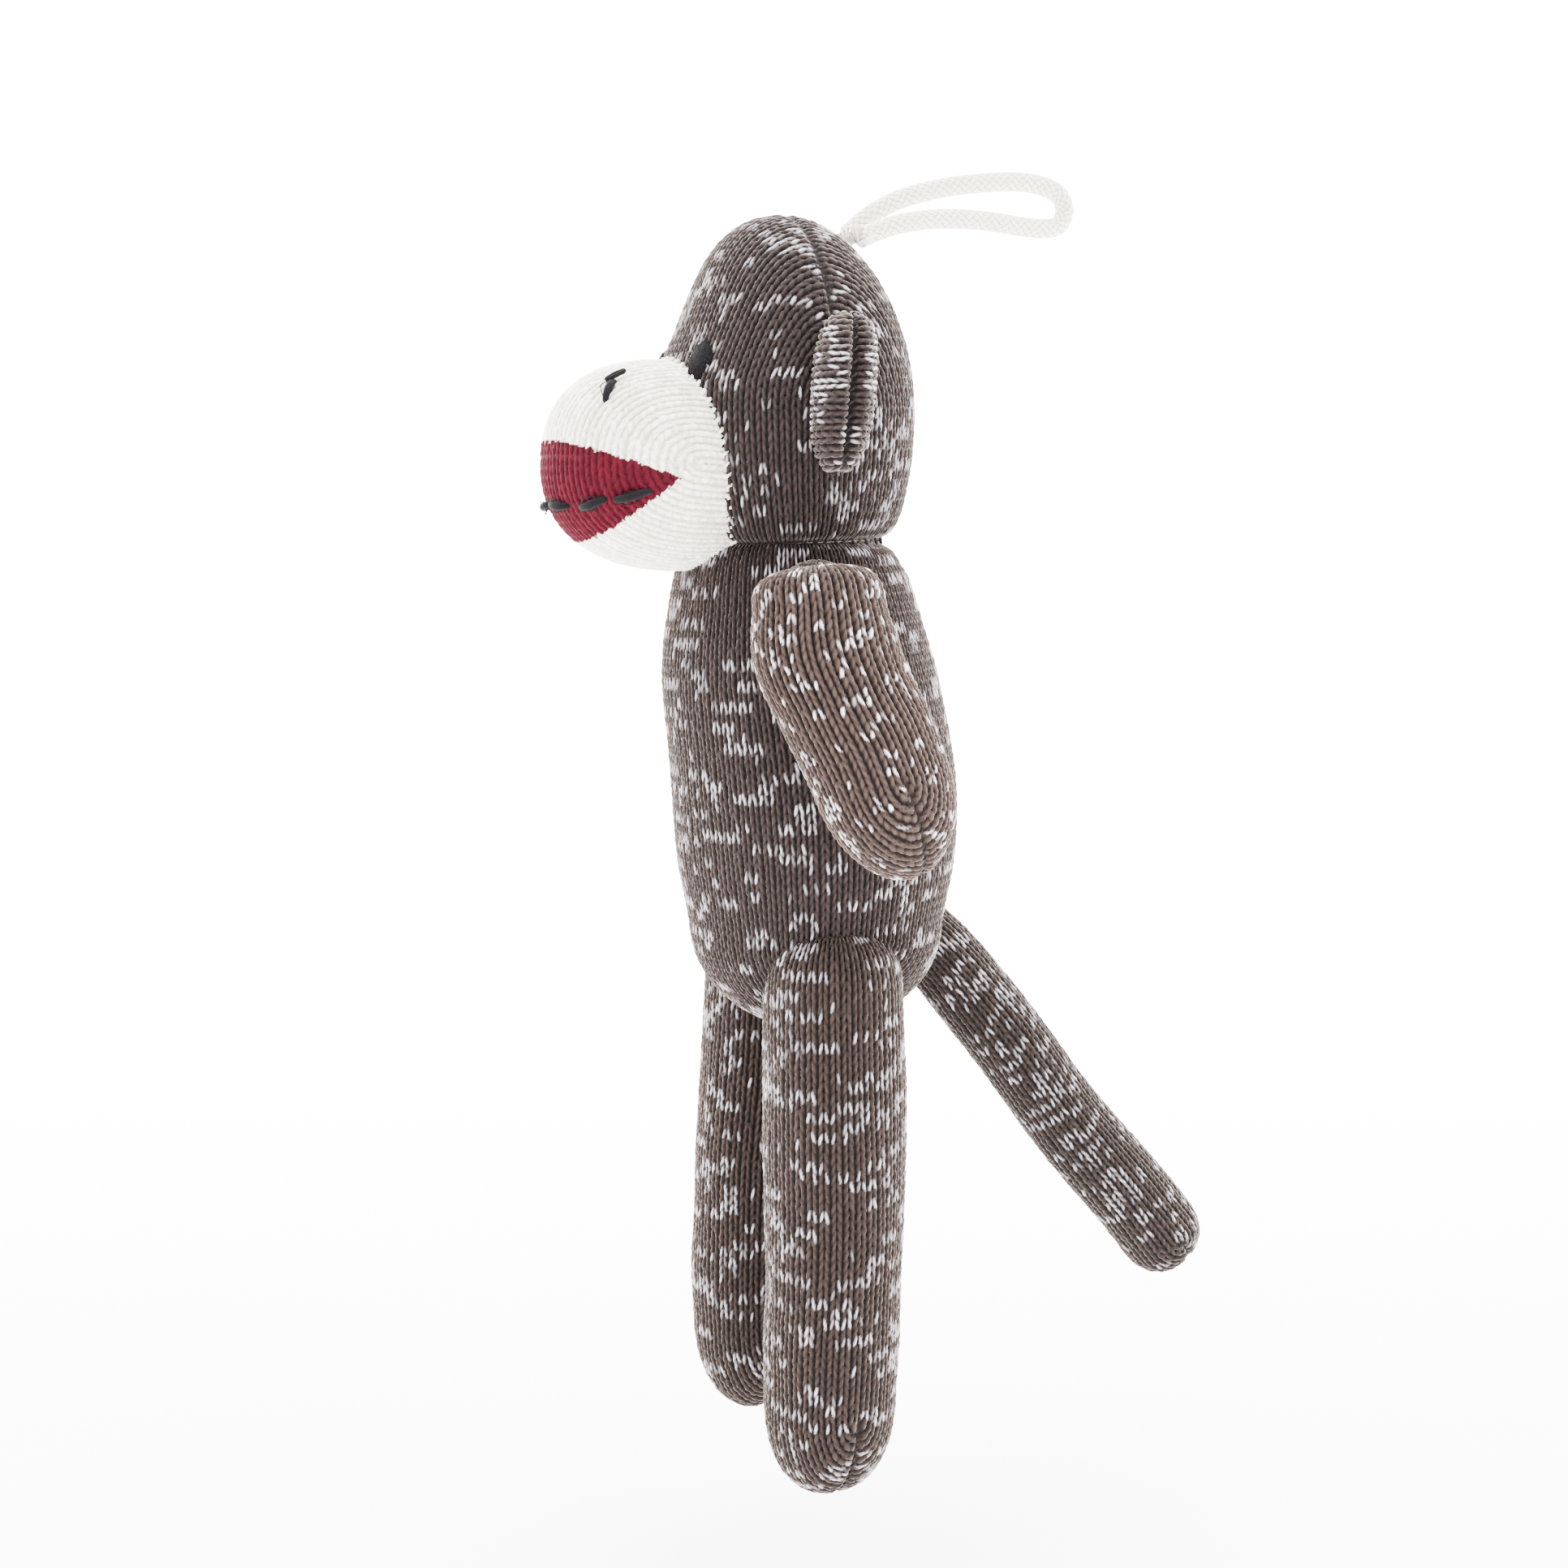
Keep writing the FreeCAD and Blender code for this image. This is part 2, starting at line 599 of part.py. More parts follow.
def check_document():
    """Stop if any object failed or any sub-part isn't a sound shape."""
    for made in doc.Objects:
        if "Invalid" in made.State or "Error" in made.State:
            raise RuntimeError("failed: " + made.Name)
    for node, made in pieces.items():
        if made.Shape.isNull() or not made.Shape.isValid() or not made.Shape.Solids:
            raise RuntimeError("bad shape: " + node)


def write_parts():
    os.makedirs("parts", exist_ok=True)
    for old in os.listdir("parts"):
        os.remove(os.path.join("parts", old))
    for node, made in pieces.items():
        made.Shape.exportStep("parts/%s.step" % node)
        box = made.Shape.BoundBox
        print("%-24s %d solid(s) %8.2f cm3  x %6.1f %6.1f  y %6.1f %6.1f  z %6.1f %6.1f"
              % (node, len(made.Shape.Solids), made.Shape.Volume / 1000, box.XMin, box.XMax,
                 box.YMin, box.YMax, box.ZMin, box.ZMax))


head_shape, head_hollow = make_head()
make_head_seams(head_shape, head_hollow)
make_neck()
muzzle_shape = make_muzzle(head_shape)
make_face_stitches(muzzle_shape)
make_eyes(head_shape)
make_ears()
make_loop()
make_torso()
for limb_side, limb_word in ((1, "left"), (-1, "right")):
    make_arm(limb_side, limb_word)
    make_leg(limb_side, limb_word)
make_tail()
doc.recompute()
check_document()
write_parts()
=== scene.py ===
"""Looks for the stuffed monkey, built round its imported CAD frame.

Lengths in this script are millimetres; meshes are written in metres.  Every knitted skin is
a grid laid over a smooth form and raised stitch by stitch.
"""
import json
import math

import bpy
import numpy as np
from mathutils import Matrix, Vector
from mathutils.bvhtree import BVHTree


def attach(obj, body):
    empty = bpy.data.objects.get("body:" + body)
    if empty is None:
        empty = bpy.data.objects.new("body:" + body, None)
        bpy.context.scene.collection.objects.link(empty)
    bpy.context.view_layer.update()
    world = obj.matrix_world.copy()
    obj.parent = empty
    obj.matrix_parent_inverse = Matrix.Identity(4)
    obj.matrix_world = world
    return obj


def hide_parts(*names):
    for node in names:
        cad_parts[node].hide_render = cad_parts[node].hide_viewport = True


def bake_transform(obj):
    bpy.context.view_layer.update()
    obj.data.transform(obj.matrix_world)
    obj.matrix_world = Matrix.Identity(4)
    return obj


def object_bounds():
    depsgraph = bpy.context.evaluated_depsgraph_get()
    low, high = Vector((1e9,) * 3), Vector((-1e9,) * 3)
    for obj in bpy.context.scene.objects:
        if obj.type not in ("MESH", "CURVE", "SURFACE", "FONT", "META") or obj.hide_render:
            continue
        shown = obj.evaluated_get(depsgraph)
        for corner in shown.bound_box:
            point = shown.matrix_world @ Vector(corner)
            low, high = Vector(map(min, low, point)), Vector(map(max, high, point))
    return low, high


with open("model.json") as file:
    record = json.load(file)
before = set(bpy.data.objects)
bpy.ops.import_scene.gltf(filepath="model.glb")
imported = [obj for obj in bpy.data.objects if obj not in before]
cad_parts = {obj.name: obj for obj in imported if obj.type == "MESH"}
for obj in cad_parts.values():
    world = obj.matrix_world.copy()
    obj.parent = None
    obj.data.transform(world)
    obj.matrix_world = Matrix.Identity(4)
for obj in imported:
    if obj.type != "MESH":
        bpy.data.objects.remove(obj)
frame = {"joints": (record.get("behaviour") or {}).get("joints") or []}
cad_low, cad_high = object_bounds()
PIVOT = {joint["name"]: 1000 * np.array(joint["pos_m"]) for joint in frame["joints"]}

WALE = 3.1                 # width of one knitted stitch
COURSE = 2.5               # height of one knitted stitch
RELIEF = 0.95              # how far the yarn stands up from the gaps
COLUMNS = 10               # mesh columns across a stitch
ROW = COURSE / 6           # mesh rows along a stitch
SEAM_DEPTH = 0.6           # how deep a sewn closing pulls in
TABLE_ROWS = 256           # courses before the yarn's colours repeat
SIDES = {"left": 1, "right": -1}

# Corners of the hanging loop's route, from one end of the cord to the other.
LOOP_ROUTE = [
    (-3.4, 0.4, 0.9), (-3.4, 4.9, 5.2), (-3.2, 13.9, 10.6), (-2.8, 27.0, 14.6),
    (-2.4, 40.5, 16.9), (-1.8, 51.5, 17.9), (-1.2, 58.5, 17.0), (-0.6, 62.5, 15.1),
    (0.0, 64.0, 11.0), (0.6, 62.1, 7.0), (1.2, 58.0, 5.5), (1.8, 50.5, 5.4),
    (2.4, 37.5, 6.3), (2.8, 24.5, 5.9), (3.2, 12.5, 3.9), (3.4, 4.5, 1.0),
    (3.4, 0.6, -0.9),
]
CORD = 5.0


# ---------------------------------------------------------------- curves and grids

def unit(vectors):
    """Each vector with length one."""
    length = np.linalg.norm(vectors, axis=-1, keepdims=True)
    return vectors / np.maximum(length, 1e-9)


def smooth_step(value, low, high):
    """0 below low, 1 above high, and smooth between."""
    t = np.clip((value - low) / (high - low), 0, 1)
    return t * t * (3 - 2 * t)


def curve_through(at, knots, values):
    """A smooth curve through the given values at the knots, read at other places."""
    slopes = np.gradient(values, knots, axis=0)
    piece = np.clip(np.searchsorted(knots, at, side="right") - 1, 0, len(knots) - 2)
    span = knots[piece + 1] - knots[piece]
    t = np.clip((at - knots[piece]) / span, 0, 1)
    span, t = span[..., None], t[..., None]
    start = (1 + 2 * t) * (1 - t) ** 2 * values[piece]
    leave = t * (1 - t) ** 2 * span * slopes[piece]
    end = t * t * (3 - 2 * t) * values[piece + 1]
    arrive = t * t * (t - 1) * span * slopes[piece + 1]
    return start + leave + end + arrive


def waves(around, along, seed, size):
    """Low, soft unevenness over a form, the same at both ends of a turn."""
    rng = np.random.default_rng(seed)
    total = np.zeros(np.broadcast(around, along).shape)
    for turns in (1, 2, 2, 3, 4, 5):
        rate, phase = rng.uniform(-0.12, 0.12), rng.uniform(0, 2 * math.pi)
        total += np.sin(turns * around + rate * along + phase) / (1 + turns)
    return size * total


def half_turn(length):
    """Angles from 0 to a right angle, about one mesh row apart on an arc of that size."""
    count = max(8, int(round(math.pi / 2 * length / ROW)))
    return np.linspace(0, math.pi / 2, count + 1)


def tube_grid(outline, wales, root_long, toe_long, seed, lumps=0.35, root_blunt=1.0, blunt=1.0):
    """A stuffed tube's points, row by row from its rounded root to its sewn toe.

    outline has rows of x, y, z, half width and half depth along the middle line.  At the toe
    each wale keeps its distance from the middle plane, until both halves meet in the plane
    of the middle line and X, as in a tube of knit sewn flat across its end.  An end is an
    oval, or fuller at its edge where its bluntness is under one.
    """
    rows = np.array(outline, float)
    station = np.concatenate([[0], np.cumsum(np.linalg.norm(np.diff(rows[:, :3], axis=0), axis=1))])
    end = station[-1]
    around = np.linspace(0, 2 * math.pi, COLUMNS * wales, endpoint=False)[None, :]
    sine, cosine = np.sin(around), np.cos(around)
    root = half_turn(max(abs(root_long), rows[0, 3]))[:-1, None]
    tube = np.linspace(0, end, max(2, int(end / ROW)))[:, None]
    toe = half_turn(max(toe_long, rows[-1, 4]))[1:, None]
    root_wide = np.sin(root) ** root_blunt
    side_of = [root_wide * sine, sine + 0 * tube, sine + 0 * toe]
    fore_of = [root_wide * cosine, cosine + 0 * tube, cosine * np.cos(toe) ** blunt]
    reach_of = [-root_long * np.cos(root) ** root_blunt + 0 * sine, tube + 0 * sine,
                end + toe_long * np.abs(cosine) ** blunt * np.sin(toe) ** blunt]
    side, fore = np.vstack(side_of), np.vstack(fore_of)
    reach = np.vstack(reach_of)
    held = np.clip(reach, 0, end)
    profile = curve_through(held, station, rows)
    ahead = curve_through(np.clip(held + 0.5, 0, end), station, rows)
    behind = curve_through(np.clip(held - 0.5, 0, end), station, rows)
    tangent = unit(ahead[..., :3] - behind[..., :3])
    across = unit(np.array([1.0, 0, 0]) - tangent[..., :1] * tangent)
    deep = np.cross(across, tangent)
    middle = profile[..., :3] + (reach - held)[..., None] * tangent
    swell = 1 + waves(around, reach, seed, lumps / rows[:, 3].max())
    points = (middle + across * (side * swell * profile[..., 3])[..., None]
              + deep * (fore * swell * profile[..., 4])[..., None])
    return {"points": points, "middle": middle, "around": around + 0 * side, "wales": wales,
            "first": len(root), "toe": len(root) + len(tube)}


def column_lengths(points):
    """How far each point is along its own column."""
    steps = np.linalg.norm(np.diff(points, axis=0), axis=2)
    return np.vstack([np.zeros((1, points.shape[1])), np.cumsum(steps, axis=0)])


def grid_normals(points, middle):
    """Outward normals of a grid that closes round its columns."""
    round_it = np.roll(points, -1, axis=1) - np.roll(points, 1, axis=1)
    along_it = np.gradient(points, axis=0)
    normal = np.cross(round_it, along_it)
    outward = unit(points - middle)
    normal *= np.sign((normal * outward).sum(axis=2, keepdims=True) + 1e-12)
    weak = np.linalg.norm(normal, axis=2, keepdims=True) < 1e-3
    return unit(np.where(weak, outward, unit(normal)))


# ---------------------------------------------------------------- knitting

def yarn_colours(wales, seed, longest):
    """Which legs of the stitches are light: short runs along each course of the speckled yarn."""
    rng = np.random.default_rng(seed)
    legs = 2 * wales
    table = np.zeros((TABLE_ROWS, legs))
    for row in range(TABLE_ROWS):
        at = int(rng.integers(0, 14))
        while at < legs:
            run = int(rng.integers(1, longest + 1))
            patch = rng.choice([1.0, 0.6, 0.3, 0.0], size=legs, p=[0.42, 0.18, 0.14, 0.26])
            table[row, at:at + run] = patch[at:at + run]
            at += run + int(rng.integers(2, 2 * longest + 4))
    return table


def knit_relief(wale, course, wales, seed, rib=0.0):
    """Stockinette at each wale and course number: the height, and the row and leg that show
    there, with how far along that leg the point is and how round the leg is there.

    A stitch is two leaf-shaped legs whose tops meet and lie over the feet of the row above.
    rib is how much the knit sinks between two wales, as when it is drawn together.
    """
    vary = np.random.default_rng(seed).random((TABLE_ROWS, 2 * wales))
    best = np.full(wale.shape, -1.0)
    best_row = np.floor(course).astype(int)
    best_leg = np.floor(2 * wale).astype(int)
    best_share = np.zeros(wale.shape)
    best_round = np.zeros(wale.shape)
    for row_step in (-1, 0, 1, 2):
        row = np.floor(course).astype(int) + row_step
        for leg_step in (-1, 0, 1):
            leg = np.floor(2 * wale).astype(int) + leg_step
            hand = np.where(leg % 2 == 0, -1, 1)
            stitch = np.floor_divide(leg, 2) + 0.5
            inside = (course - row + 0.32 + 0.9 * np.abs(wale - stitch)) / 1.6
            inside = np.clip(inside, 0, 1)
            chance = vary[row % TABLE_ROWS, leg % (2 * wales)]
            plump = 0.86 + 0.28 * chance
            centre = stitch + hand * (0.35 - 0.225 * inside) + 0.06 * (chance - 0.5)
            leaf = np.sin(math.pi * inside) ** 0.6
            from_middle = (wale - centre) / np.maximum(0.205 * plump * leaf, 1e-3)
            swell = np.clip(1 - from_middle ** 2, 0, 1)
            dome = np.sqrt(swell)
            height = np.where(dome > 0, 0.74 * dome * leaf * plump + 0.30 * inside, -1)
            better = height > best
            best = np.where(better, height, best)
            best_row = np.where(better, row, best_row)
            best_leg = np.where(better, leg, best_leg)
            best_share = np.where(better, inside, best_share)
            best_round = np.where(better, swell * leaf, best_round)
    groove = np.abs(2 * (wale - np.floor(wale)) - 1) ** 3
    return np.clip(best, 0, None) - rib * groove, best_row, best_leg, best_share, best_round


def lay_knit(grid, up, course_size=COURSE, heel=False):
    """Wale and course numbers over a tube, and how far each point is from root and seam."""
    length = column_lengths(grid["points"])
    from_root = length - length[grid["first"]]
    to_seam = length[-1] - length
    wale = grid["around"] / (2 * math.pi) * grid["wales"]
    if heel:
        course = -np.sign(np.cos(grid["around"]) + 1e-9) * to_seam / course_size * up
    else:
        course = up * from_root / course_size
    return wale, course, from_root, to_seam


def closed_triangles(rows, columns, tip="toe"):
    """Triangles over a grid that goes round, from a point to a toe's seam or another point."""
    index = np.arange(rows * columns).reshape(rows, columns)
    index[0] = index[0, 0]
    if tip == "point":
        index[-1] = index[-1, 0]
    else:
        column = np.arange(columns)
        twin = (columns // 2 - column) % columns
        index[-1] = index[-1, np.minimum(column, twin)]
    corner, right = index[:-1], np.roll(index[:-1], -1, axis=1)
    above, over = index[1:], np.roll(index[1:], -1, axis=1)
    first = np.stack([corner, right, over], axis=2).reshape(-1, 3)
    second = np.stack([corner, over, above], axis=2).reshape(-1, 3)
    faces = np.vstack([first, second])
    a, b, c = faces.T
    return faces[(a != b) & (b != c) & (c != a)]


def mesh_object(name, points, triangles, material, attributes=None):
    """A closed mesh in metres, with values per point for its material."""
    used, triangles = np.unique(triangles, return_inverse=True)
    triangles = triangles.reshape(-1, 3)
    points = points.reshape(-1, 3)[used]
    centre = points.mean(axis=0)
    a, b, c = (points[triangles[:, k]] - centre for k in range(3))
    if (a * np.cross(b, c)).sum() < 0:
        triangles = triangles[:, ::-1]
    mesh = bpy.data.meshes.new(name)
    mesh.vertices.add(len(points))
    mesh.vertices.foreach_set("co", (points / 1000).astype(np.float32).ravel())
    mesh.loops.add(triangles.size)
    mesh.loops.foreach_set("vertex_index", np.ascontiguousarray(triangles, np.int32).ravel())
    mesh.polygons.add(len(triangles))
    mesh.polygons.foreach_set("loop_start", np.arange(0, triangles.size, 3, dtype=np.int32))
    for key, value in (attributes or {}).items():
        layer = mesh.attributes.new(key, "FLOAT", "POINT")
        layer.data.foreach_set("value", value.reshape(-1)[used].astype(np.float32))
    mesh.update(calc_edges=True)
    mesh.shade_smooth()
    mesh.materials.append(material)
    made = bpy.data.objects.new(name, mesh)
    bpy.context.scene.collection.objects.link(made)
    return made


def knit_values(points, normal, wale, course, wales, seed, hold, rib=0.0, dots=0.42, longest=10,
                pale=0.0, relief=RELIEF):
    """Raised points of a knitted skin, the values that its material reads, and each point's row.

    hold is 1 where a seam pulls the knit in and 0 away from it, and it darkens seams as
    painted shade.  rib is the depth of the grooves between wales, dots is how much of a light
    leg's length shows its colour, longest is how many legs on end can be light, pale is how
    much lighter the knit is painted, below zero darker, as painted light and shade, and
    relief is how far the yarn stands up.
    """
    height, row, leg, share, roundness = knit_relief(wale, course, wales, seed, rib)
    rng = np.random.default_rng(seed + 1)
    # tone is each leg's random tone plus pale, the painted light and shade that shows one part lighter
    # or darker than the same yarn elsewhere.
    tone = pale + rng.random((TABLE_ROWS, 2 * wales))[row % TABLE_ROWS, leg % (2 * wales)]
    fleck = yarn_colours(wales, seed, longest)[row % TABLE_ROWS, leg % (2 * wales)]
    chance = rng.random((2, TABLE_ROWS, 2 * wales))[:, row % TABLE_ROWS, leg % (2 * wales)]
    shown = np.abs(share - 0.46 - 0.24 * chance[0]) < dots * (0.65 + 0.4 * chance[1])
    fleck = fleck * shown * smooth_step(roundness, 0.3, 0.75) * (1 - hold)
    lift = (height - 0.55) * relief * (1 - hold) - SEAM_DEPTH * hold
    raised = points + normal * lift[..., None]
    # Painted shade for the material: darker at the edges of each leg, a painted shadow where a leg's
    # foot lies under the row above, and darker along seams.
    shade = roundness * (0.2 + 0.8 * smooth_step(share, 0.12, 0.5)) * (1 - 0.55 * hold)
    return raised, {"fleck": fleck, "tone": tone, "lift": shade}, row


def knitted_tube(name, grid, material, seed, up=-1, course_size=COURSE, rib=0.0, dots=0.42,
                 longest=10, pale=0.0, tied=0.0):
    """The skin of a stuffed tube, and its closing seam as a line of points and normals.

    rib is the depth of the grooves at the root, which fade out along the tube, and tied is
    how tightly sewing yarn draws the root in.
    """
    points = grid["points"]
    normal = grid_normals(points, grid["middle"])
    wale, course, from_root, to_seam = lay_knit(grid, up, course_size)
    wale = wale + waves(grid["around"], course, seed + 7, 0.17)
    course = course + waves(grid["around"], course, seed + 8, 0.22)
    hold = np.exp(-(to_seam / 0.9) ** 2)
    hold = np.maximum(hold, tied * np.exp(-(from_root / 2.0) ** 2))
    hold[0] = 1
    groove = rib * (1 - smooth_step(from_root, 10, 42))
    raised, values, _ = knit_values(points, normal, wale, course, grid["wales"], seed, hold,
                                    groove, dots, longest, pale)
    raised[-1] = points[-1] - SEAM_DEPTH * unit(points[-1] - grid["middle"][grid["toe"]])
    rows, columns = wale.shape
    made = mesh_object(name, raised, closed_triangles(rows, columns), material, values)
    quarter = columns // 4
    seam = np.roll(raised[-1], quarter, axis=0)[:2 * quarter + 1]
    out = unit(seam - grid["middle"][grid["toe"]][0])
    return made, seam, out


# ---------------------------------------------------------------- yarn and cord

def frames_along(path):
    """Two directions across a path that don't twist along it."""
    tangent = unit(np.gradient(path, axis=0))
    start = np.cross(tangent[0], [0.3, 0.5, 0.8])
    normals = [start / np.linalg.norm(start)]
    for step in tangent[1:]:
        carried = normals[-1] - step * (normals[-1] @ step)
        normals.append(carried / np.linalg.norm(carried))
    normal = np.array(normals)
    return normal, np.cross(tangent, normal)


def tube_along(path, radius, around=10):
    """Points and triangles of a round tube with closed, rounded ends along a path."""
    radius = np.broadcast_to(np.asarray(radius, float), len(path))
    first, second = frames_along(path)
    angle = np.linspace(0, 2 * math.pi, around, endpoint=False)
    ring = (first[:, None] * np.cos(angle)[None, :, None]
            + second[:, None] * np.sin(angle)[None, :, None])
    body = path[:, None] + ring * radius[:, None, None]
    tangent = unit(np.gradient(path, axis=0))
    tips = [np.repeat(path[k][None] + way * 0.7 * radius[k] * tangent[k][None], around, axis=0)
            for k, way in ((0, -1), (-1, 1))]
    points = np.concatenate([tips[0][None], body, tips[1][None]])
    return points, closed_triangles(len(points), around, tip="point")


def resample(path, step):
    """The same line with points evenly spaced, about one step apart."""
    path = np.asarray(path, float)
    station = np.concatenate([[0], np.cumsum(np.linalg.norm(np.diff(path, axis=0), axis=1))])
    at = np.linspace(0, station[-1], max(4, int(station[-1] / step)))
    return np.stack([np.interp(at, station, path[:, k]) for k in range(3)], axis=1), at


def joined(shapes):
    """Several (points, triangles) as one."""
    points, triangles, offset = [], [], 0
    for shape, faces in shapes:
        flat = shape.reshape(-1, 3)
        points.append(flat)
        triangles.append(faces + offset)
        offset += len(flat)
    return np.vstack(points), np.vstack(triangles)


def overcast(name, line, normal, material, pitch=2.6, radius=0.42, spread=1.3, sunk=0.1,
             rise=0.75):
    """Sewing yarn wound over a seam: slanted bites from one side of the line to the other.

    pitch is the length of a bite, spread and rise are how far the yarn goes to each side and
    up, and sunk is how far the whole winding is let into the knit.
    """
    path, at = resample(line, 0.35)
    outward = np.stack([np.interp(at, np.linspace(0, at[-1], len(normal)), normal[:, k])
                        for k in range(3)], axis=1)
    across = np.cross(unit(np.gradient(path, axis=0)), unit(outward))
    phase = 2 * math.pi * at / pitch
    wound = (path + across * (spread * np.sin(phase))[:, None]
             + unit(outward) * (rise * np.cos(phase) - sunk)[:, None])
    points, triangles = tube_along(wound, radius, 8)
    return mesh_object(name, points, triangles, material)


def form_of(grid):
    """The smooth form under a knitted skin, which stitches are laid on."""
    points = grid["points"][::4, ::4]
    faces = closed_triangles(*points.shape[:2], tip="point")
    return BVHTree.FromPolygons(points.reshape(-1, 3).tolist(), faces.tolist())


def laid_on(form, points, way):
    """Points carried along a direction to where they meet a form, and outward directions."""
    way = unit(np.array(way, float))
    met, outward = [], []
    for point in points:
        hit, normal, _, _ = form.ray_cast(Vector(point - 200 * way), Vector(way))
        met.append(hit)
        outward.append(-np.sign(normal @ Vector(way)) * np.array(normal))
    return np.array(met), unit(np.array(outward))


def running_stitch(form, start, end, way, radius, seed):
    """One long stitch of yarn over the knit, with two loose strands beside it."""
    rng = np.random.default_rng(seed)
    share = np.linspace(0, 1, 18)
    line = np.array(start) + (np.array(end) - np.array(start)) * share[:, None]
    met, outward = laid_on(form, line, way)
    arch = np.sin(math.pi * share)
    across = np.cross(unit(np.gradient(met, axis=0)), outward)
    path = met + outward * (radius * (2.4 * arch ** 0.4 - 1.2))[:, None]
    shapes = [tube_along(path, radius * (0.8 + 0.3 * arch), 10)]
    for side in (-1, 1):
        stray = side * rng.uniform(0.5, 1.6) * arch ** 2 + rng.normal(0, 0.07, len(share))
        loose = (met + outward * (radius * 1.5 * arch)[:, None]
                 + across * (side * 0.5 * radius + stray)[:, None])
        shapes.append(tube_along(resample(loose, 0.3)[0], 0.13, 6))
    return shapes


def outside_of(outline, end_long):
    """A function of points: how far outside a round upright form they are."""
    rows = np.array(outline, float)
    end = rows[-1]
    way = np.sign(end[2] - rows[0, 2])
    rows = rows[np.argsort(rows[:, 2])]

    def outside(points):
        height = points[..., 2]
        middle = np.interp(height, rows[:, 2], rows[:, 1])
        radius = np.interp(height, rows[:, 2], rows[:, 3])
        beyond = np.clip(way * (height - end[2]), 0, None) * radius / end_long
        fore = points[..., 1] - middle
        return np.sqrt(points[..., 0] ** 2 + fore ** 2 + beyond ** 2) - radius

    return outside


def meeting_line(grid, outside):
    """The closed line where a sewn-on form leaves another, and outward directions along it."""
    points = grid["points"]
    normal = grid_normals(points, grid["middle"])
    gap = outside(points)
    row = np.argmax((gap[:-1] < 0) & (gap[1:] >= 0), axis=0)
    column = np.arange(points.shape[1])
    share = np.clip(gap[row, column] / (gap[row, column] - gap[row + 1, column]), 0, 1)
    line = points[row, column] + (points[row + 1, column] - points[row, column]) * share[:, None]
    outward = normal[row, column] + 0.8 * unit(points[row, column] * [1, 1, 0] + [0, 14, 0])
    every = slice(None, None, 6)
    line, outward = line[every], outward[every]
    smooth = (np.roll(line, 1, axis=0) + 2 * line + np.roll(line, -1, axis=0)) / 4
    closed = np.vstack([smooth, smooth[:1]])
    return closed, unit(np.vstack([outward, outward[:1]]))


def braid(path, radius):
    """Points and triangles of a round braided cord along a path."""
    around = 64
    path, at = resample(path, 0.35)
    points, triangles = tube_along(path, radius, around)
    angle = np.linspace(0, 1, around, endpoint=False)[None, :]
    strand = 8 * angle
    lay = (at / 4.6)[:, None]
    one, two = strand + 2 * lay, strand - 2 * lay
    over = (np.floor(one) + np.floor(two)) % 2 < 1
    bump = np.where(over, np.abs(np.sin(math.pi * one)), np.abs(np.sin(math.pi * two)))
    body = points[1:-1]
    body += (body - path[:, None]) * (0.09 * (bump - 0.8))[..., None]
    values = np.vstack([np.zeros((1, around)), bump, np.zeros((1, around))])
    return points, triangles, values


# ---------------------------------------------------------------- materials

def node_material(name):
    """A new material with its nodes, and a helper that adds a node and sets its inputs."""
    material = bpy.data.materials.new(name)
    material.use_nodes = True
    tree = material.node_tree
    surface = tree.nodes["Principled BSDF"]

    def add(kind, settings=None, **inputs):
        node = tree.nodes.new(kind)
        for key, value in (settings or {}).items():
            setattr(node, key, value)
        for key, value in inputs.items():
            socket = node.inputs[int(key[2:])] if key.startswith("in") else node.inputs[key]
            if isinstance(value, bpy.types.NodeSocket):
                tree.links.new(value, socket)
            else:
                socket.default_value = value
        return node

    return material, tree, surface, add


def colour(red, green, blue):
    """An sRGB colour, 0 to 255, as linear numbers for a socket."""
    linear = []
    for value in (red, green, blue):
        value /= 255
        linear.append(value / 12.92 if value <= 0.04045 else ((value + 0.055) / 1.055) ** 2.4)
    return (*linear, 1.0)


def fibres(add, scale, stretch):
    """Fine fibre noise in the object's own coordinates, finer across than along."""
    place = add("ShaderNodeTexCoord").outputs["Object"]
    squeeze = add("ShaderNodeMapping", None, Vector=place, Scale=(1, 1, stretch)).outputs[0]
    return add("ShaderNodeTexNoise", None, Vector=squeeze, Scale=scale, Detail=3.0,
               Roughness=0.65).outputs["Fac"]


def mixed(add, factor, first, second, blend="MIX"):
    """Two colours mixed, or multiplied."""
    node = add("ShaderNodeMix", {"data_type": "RGBA", "blend_type": blend},
               in0=factor, in6=first, in7=second)
    return node.outputs[2]


def ranged(add, value, low, high, to_low, to_high):
    """A value carried from one range to another, held at the ends."""
    node = add("ShaderNodeMapRange", None, in0=value, in1=low, in2=high, in3=to_low, in4=to_high)
    return node.outputs[0]


